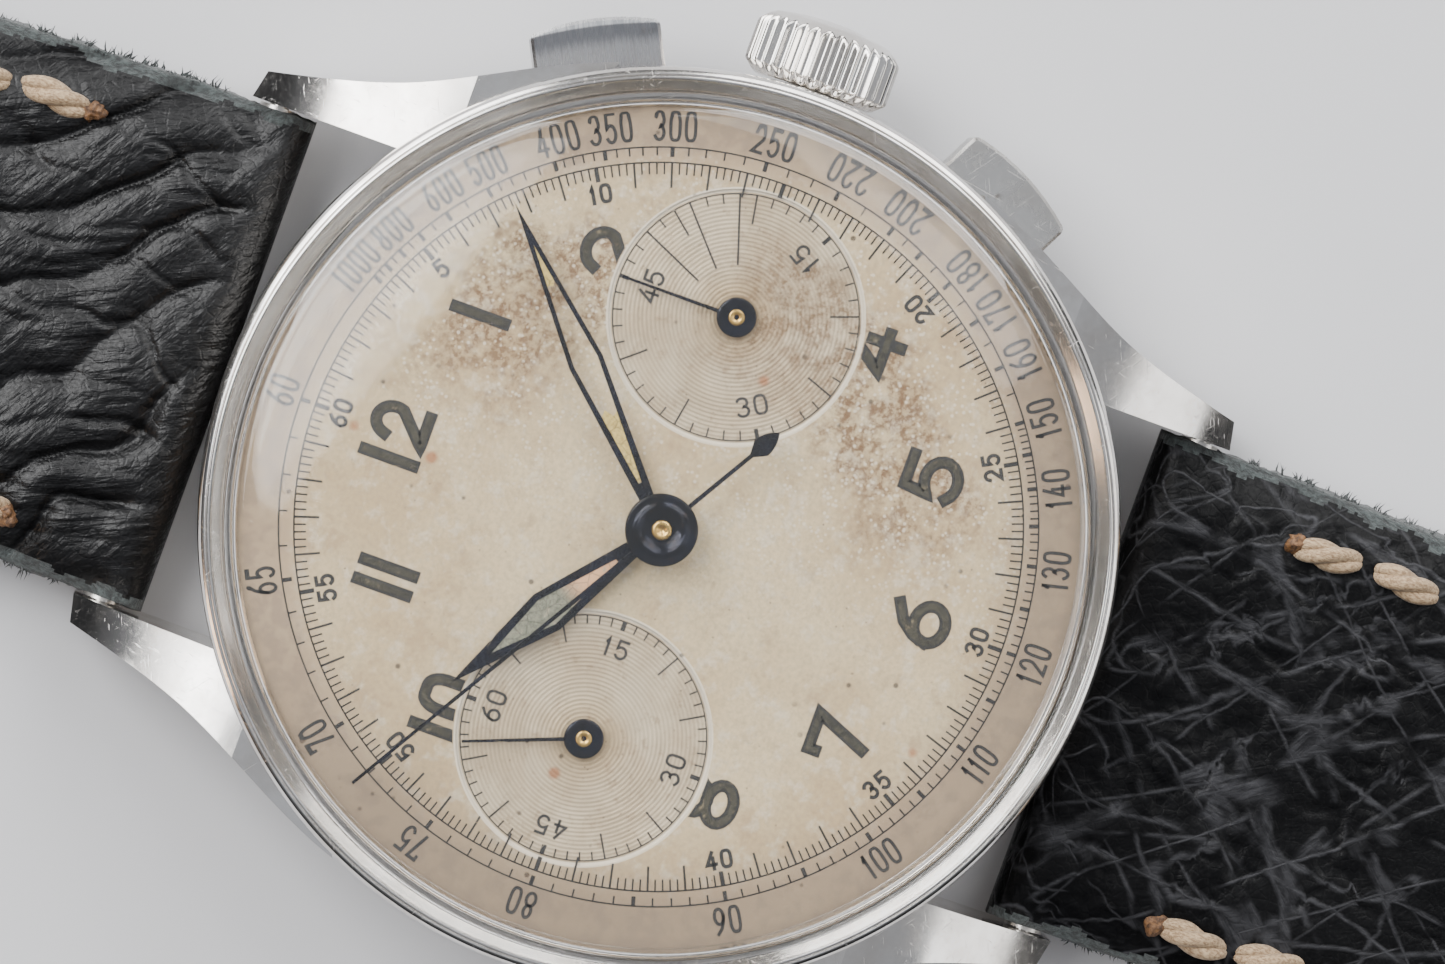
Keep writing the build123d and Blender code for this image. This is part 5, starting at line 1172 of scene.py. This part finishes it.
def stitch_row(name, half, rows, end):
    """Stitches along both edges of a strap half. Each row has its side, first place and inset, and starts
    with a singed knot."""
    bm, knots = bmesh.new(), bmesh.new()
    for side, first, inset in rows:
        for k in range(int((end - first) / STITCH_PITCH)):
            start = first + k * STITCH_PITCH + 0.12 * math.sin(5.1 * k + side)
            x = side * (half.half_width(start) - inset + 0.06 * math.sin(9.7 * k + side))
            stitch_plies(bm, x, start, 0.22 * side * math.cos(3.3 * k), half)
        y = first + 0.02
        centre = Vector((side * (half.half_width(first) - inset) * MM, y * MM, (half.top(y) - 0.28) * MM))
        made = bmesh.ops.create_icosphere(knots, subdivisions=4, radius=0.44 * MM,
                                          matrix=Matrix.Translation(centre))
        for v in made["verts"]:
            here = v.co / MM
            rough = noise_at(here.x * 3.1 + here.z * 2.3, here.y * 3.1, 51, 4)
            v.co += (v.co - centre) * 0.3 * rough
    half.piece(name, finished(bm, name), [beige_thread])
    half.piece(name + "_knots", finished(knots, name + "_knots"), [singed_knot])


stitch_row("buckle_side_stitches", buckle_half, ((1, 25.6, 2.3), (-1, 23.5, 1.75)), 82.0)
stitch_row("hole_side_stitches", hole_half, ((1, 23.7, 1.75), (-1, 23.7, 2.25)), 121.0)


def loose_fibres(name, half, end, seed):
    """Small tufts of tapered fibres that stand out of the raw edges."""
    rng = np.random.default_rng(seed)
    bm = bmesh.new()
    for side in (-1, 1):
        y = 20.8
        while y < end:
            y += rng.uniform(0.04, 0.26) * (1.0 if y < 33.0 else 4.0)
            reach = 0.16 + 0.5 * rng.random() ** 2.2
            lean = rng.uniform(-0.7, 0.7)
            rim = half.top(y) - 0.95
            for _ in range(int(rng.integers(3, 8))):
                z = rim - rng.random() * 0.7 * (rim - half.low(y))
                base = Vector((side * (half.half_width(y) - 0.12), y + rng.uniform(-0.14, 0.14), z))
                way = Vector((side, lean + rng.uniform(-0.5, 0.5), rng.uniform(-0.25, 0.55))).normalized()
                bent = (way + Vector((0.0, rng.uniform(-0.9, 0.9), rng.uniform(-0.4, 0.8)))).normalized()
                long = reach * rng.uniform(0.6, 1.15)
                thick = rng.uniform(0.03, 0.06)
                a = way.orthogonal().normalized() * thick
                b = way.cross(a)
                spokes = (a, -0.5 * a + 0.87 * b, -0.5 * a - 0.87 * b)
                middle = base + way * long * 0.55
                root = ring_of(bm, [base + spoke for spoke in spokes])
                waist = ring_of(bm, [middle + spoke * 0.75 for spoke in spokes])
                tip = ring_of(bm, [middle + bent * long * 0.5])[0]
                bm.faces.new(root)
                join(bm, (root, waist))
                for m in range(3):
                    bm.faces.new((waist[m], waist[(m + 1) % 3], tip))
    half.piece(name, finished(bm, name), [suede_edge])


loose_fibres("buckle_side_fibres", buckle_half, 71.0, 41)
loose_fibres("hole_side_fibres", hole_half, 120.0, 43)


# ---------------------------------------------------------------- keepers
def keeper_mesh(name, low_corner, high_corner, seed):
    """Leather band bent into a rounded frame inside a box, with soft creased faces."""
    centre_y = (low_corner.y + high_corner.y) / 2 / MM
    low, high = low_corner.z / MM + KEEPER_WALL, high_corner.z / MM - KEEPER_WALL
    half = KEEPER_WALL / 2
    path = resample(rounded_loop(high_corner.x / MM - half, (high - low) / 2 + half, 1.0), 0.4, True)
    section = []
    for k in range(18):
        a = 2 * math.pi * k / 18
        c, s = math.cos(a), math.sin(a)
        along, out = math.copysign(abs(c) ** 0.35, c), math.copysign(abs(s) ** 0.55, s)
        section.append((along * 2.45, out * (half - 0.03)))
    bm = bmesh.new()
    rings = []
    for k, (px, pz) in enumerate(path):
        ahead, behind = path[(k + 1) % len(path)], path[k - 1]
        along = Vector((ahead[0] - behind[0], ahead[1] - behind[1])).normalized()
        ring = []
        for sy, reach in section:
            if reach > 0:
                reach += 0.035 * noise_at(k * 0.35, sy * 1.1, seed, 3)
            ring.append((px + along.y * reach, centre_y + sy, (high + low) / 2 + pz - along.x * reach))
        rings.append(ring_of(bm, ring))
    join(bm, rings, closed=True)
    return finished(bm, name)


for keeper_name, node_name, body_name in (("fixed_keeper_leather", "fixed_keeper", "strap_buckle_side"),
                                          ("sliding_keeper_leather", "sliding_keeper", "sliding_keeper")):
    mesh = keeper_mesh(keeper_name, *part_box(node_name), 7)
    band = piece(keeper_name, mesh, [wrinkled_leather], body_name, smooth=True)
    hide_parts(node_name)


# ---------------------------------------------------------------- finishes of the CAD nodes
FINISHES = (
    (polished_steel, ("bezel", "case_middle", "crown", "buckle_frame", "buckle_tongue")),
    (worn_steel, ("reset_pusher",)),
    (pusher_head, ("start_pusher",)),
    (satin_steel, ("case_back", "crown_tube", "pusher_tubes", "spring_bars")),
    (aged_dial, ("dial",)),
    (blued_steel, ("hour_hand", "minute_hand", "chronograph_seconds_hand", "running_seconds_hand",
                   "minute_counter_hand", "hairspring")),
    (gilt, ("mainplate", "barrel_bridge", "train_bridge", "balance_cock")),
    (brass, ("barrel", "barrel_lid", "centre_wheel", "third_wheel", "fourth_wheel", "balance_wheel",
             "hour_wheel", "minute_wheel", "chronograph_runner", "coupling_wheel", "minute_counting_wheel")),
    (nickel, ("crown_wheel", "intermediate_winding_wheel", "ratchet_wheel")),
    (spring_steel, ("mainspring",)),
    (ruby_jewel, ("jewels",)),
)
finish_of = {name: material for material, names in FINISHES for name in names}
for name, node in nodes.items():
    material = finish_of.get(name, works_steel)
    for k in range(max(1, len(node.data.materials))):
        if k < len(node.data.materials):
            node.data.materials[k] = material
        else:
            node.data.materials.append(material)


# ---------------------------------------------------------------- floor, lights and camera
def floor_material():
    g = Graph("pale_floor")
    g.base = g.mix(g.noise(0.05, 4.0, 0.6), (196, 196, 198), (204, 204, 206))
    return g.shader(Roughness=0.85, Normal=g.bump(g.noise(1.5, 4.0, 0.6), 0.1, 0.05))


bm = bmesh.new()
corners = ((-3000.0, -3000.0), (3000.0, -3000.0), (3000.0, 3000.0), (-3000.0, 3000.0))
bm.faces.new(ring_of(bm, [(x, y, -0.05) for x, y in corners]))
floor_mesh = bpy.data.meshes.new("floor")
bm.to_mesh(floor_mesh)
bm.free()
floor_mesh.materials.append(floor_material())
in_scene("floor", floor_mesh)

VIEW_FROM = Vector((9.5025, 16.2087, 258.727)) * MM
VIEW_BACK = Vector((0.02804, 0.07099, 0.99708)).normalized()
VIEW_RIGHT = Vector((0.34102, -0.93831, 0.05722))
VIEW_RIGHT = (VIEW_RIGHT - VIEW_BACK * VIEW_RIGHT.dot(VIEW_BACK)).normalized()
VIEW_UP = VIEW_BACK.cross(VIEW_RIGHT)


def facing(place, right, up, back):
    """The placing of an object that looks along its -Z axis."""
    return Matrix.Translation(place) @ Matrix((right, up, back)).transposed().to_4x4()


def softbox(name, azimuth, polar, size, glow, distance=0.6, colour=(1.0, 1.0, 1.0)):
    """A rectangular light that faces the watch. Its place is given in degrees round and away from the view
    axis, its size across and along that direction, and its glow as radiance."""
    a, p = math.radians(azimuth), math.radians(polar)
    way = (VIEW_RIGHT * math.cos(a) + VIEW_UP * math.sin(a)) * math.sin(p) + VIEW_BACK * math.cos(p)
    across = VIEW_BACK.cross(way).normalized()
    light = bpy.data.lights.new(name, "AREA")
    light.shape = "RECTANGLE"
    light.size, light.size_y = size
    light.energy = glow * math.pi * size[0] * size[1]
    light.color = colour
    in_scene(name, light).matrix_world = facing(way * distance, across, way.cross(across), way)


softbox("left_softbox", 142, 33, (0.40, 0.36), 5.6)
softbox("left_softbox_core", 142, 36, (0.36, 0.29), 4.4)
softbox("right_softbox", 44, 39, (0.40, 0.24), 3.2)
softbox("right_softbox_core", 44, 39, (0.34, 0.2), 2.2)
softbox("upper_left_key", 127, 61, (0.5, 0.4), 7.2, 0.65)
softbox("upper_right_key", 53, 61, (0.5, 0.4), 6.3, 0.65)
softbox("side_fill", -12, 64, (0.5, 0.3), 2.6, 0.65)
softbox("low_warm_card", 200, 73, (0.12, 0.3), 4.0, 0.55, (1.0, 0.7, 0.48))

world = bpy.data.worlds.new("studio_air")
world.use_nodes = True
air = world.node_tree
sky_place = air.nodes.new("ShaderNodeTexCoord")
sky_split = air.nodes.new("ShaderNodeSeparateXYZ")
sky_ramp = air.nodes.new("ShaderNodeMapRange")
for socket, value in zip(sky_ramp.inputs[1:5], (0.35, 1.0, 0.03, 0.62)):
    socket.default_value = value
air.links.new(sky_place.outputs["Generated"], sky_split.inputs[0])
air.links.new(sky_split.outputs[2], sky_ramp.inputs[0])
air.links.new(sky_ramp.outputs[0], air.nodes["Background"].inputs[1])
air.nodes["Background"].inputs[0].default_value = (0.88, 0.92, 1.0, 1.0)
bpy.context.scene.world = world

camera_data = bpy.data.cameras.new("view")
camera_data.lens = 165.0
camera_data.sensor_width = 36.0
camera_data.clip_start = 0.01
camera = in_scene("view", camera_data)
camera.matrix_world = facing(VIEW_FROM, VIEW_RIGHT, VIEW_UP, VIEW_BACK)
bpy.context.scene.camera = camera
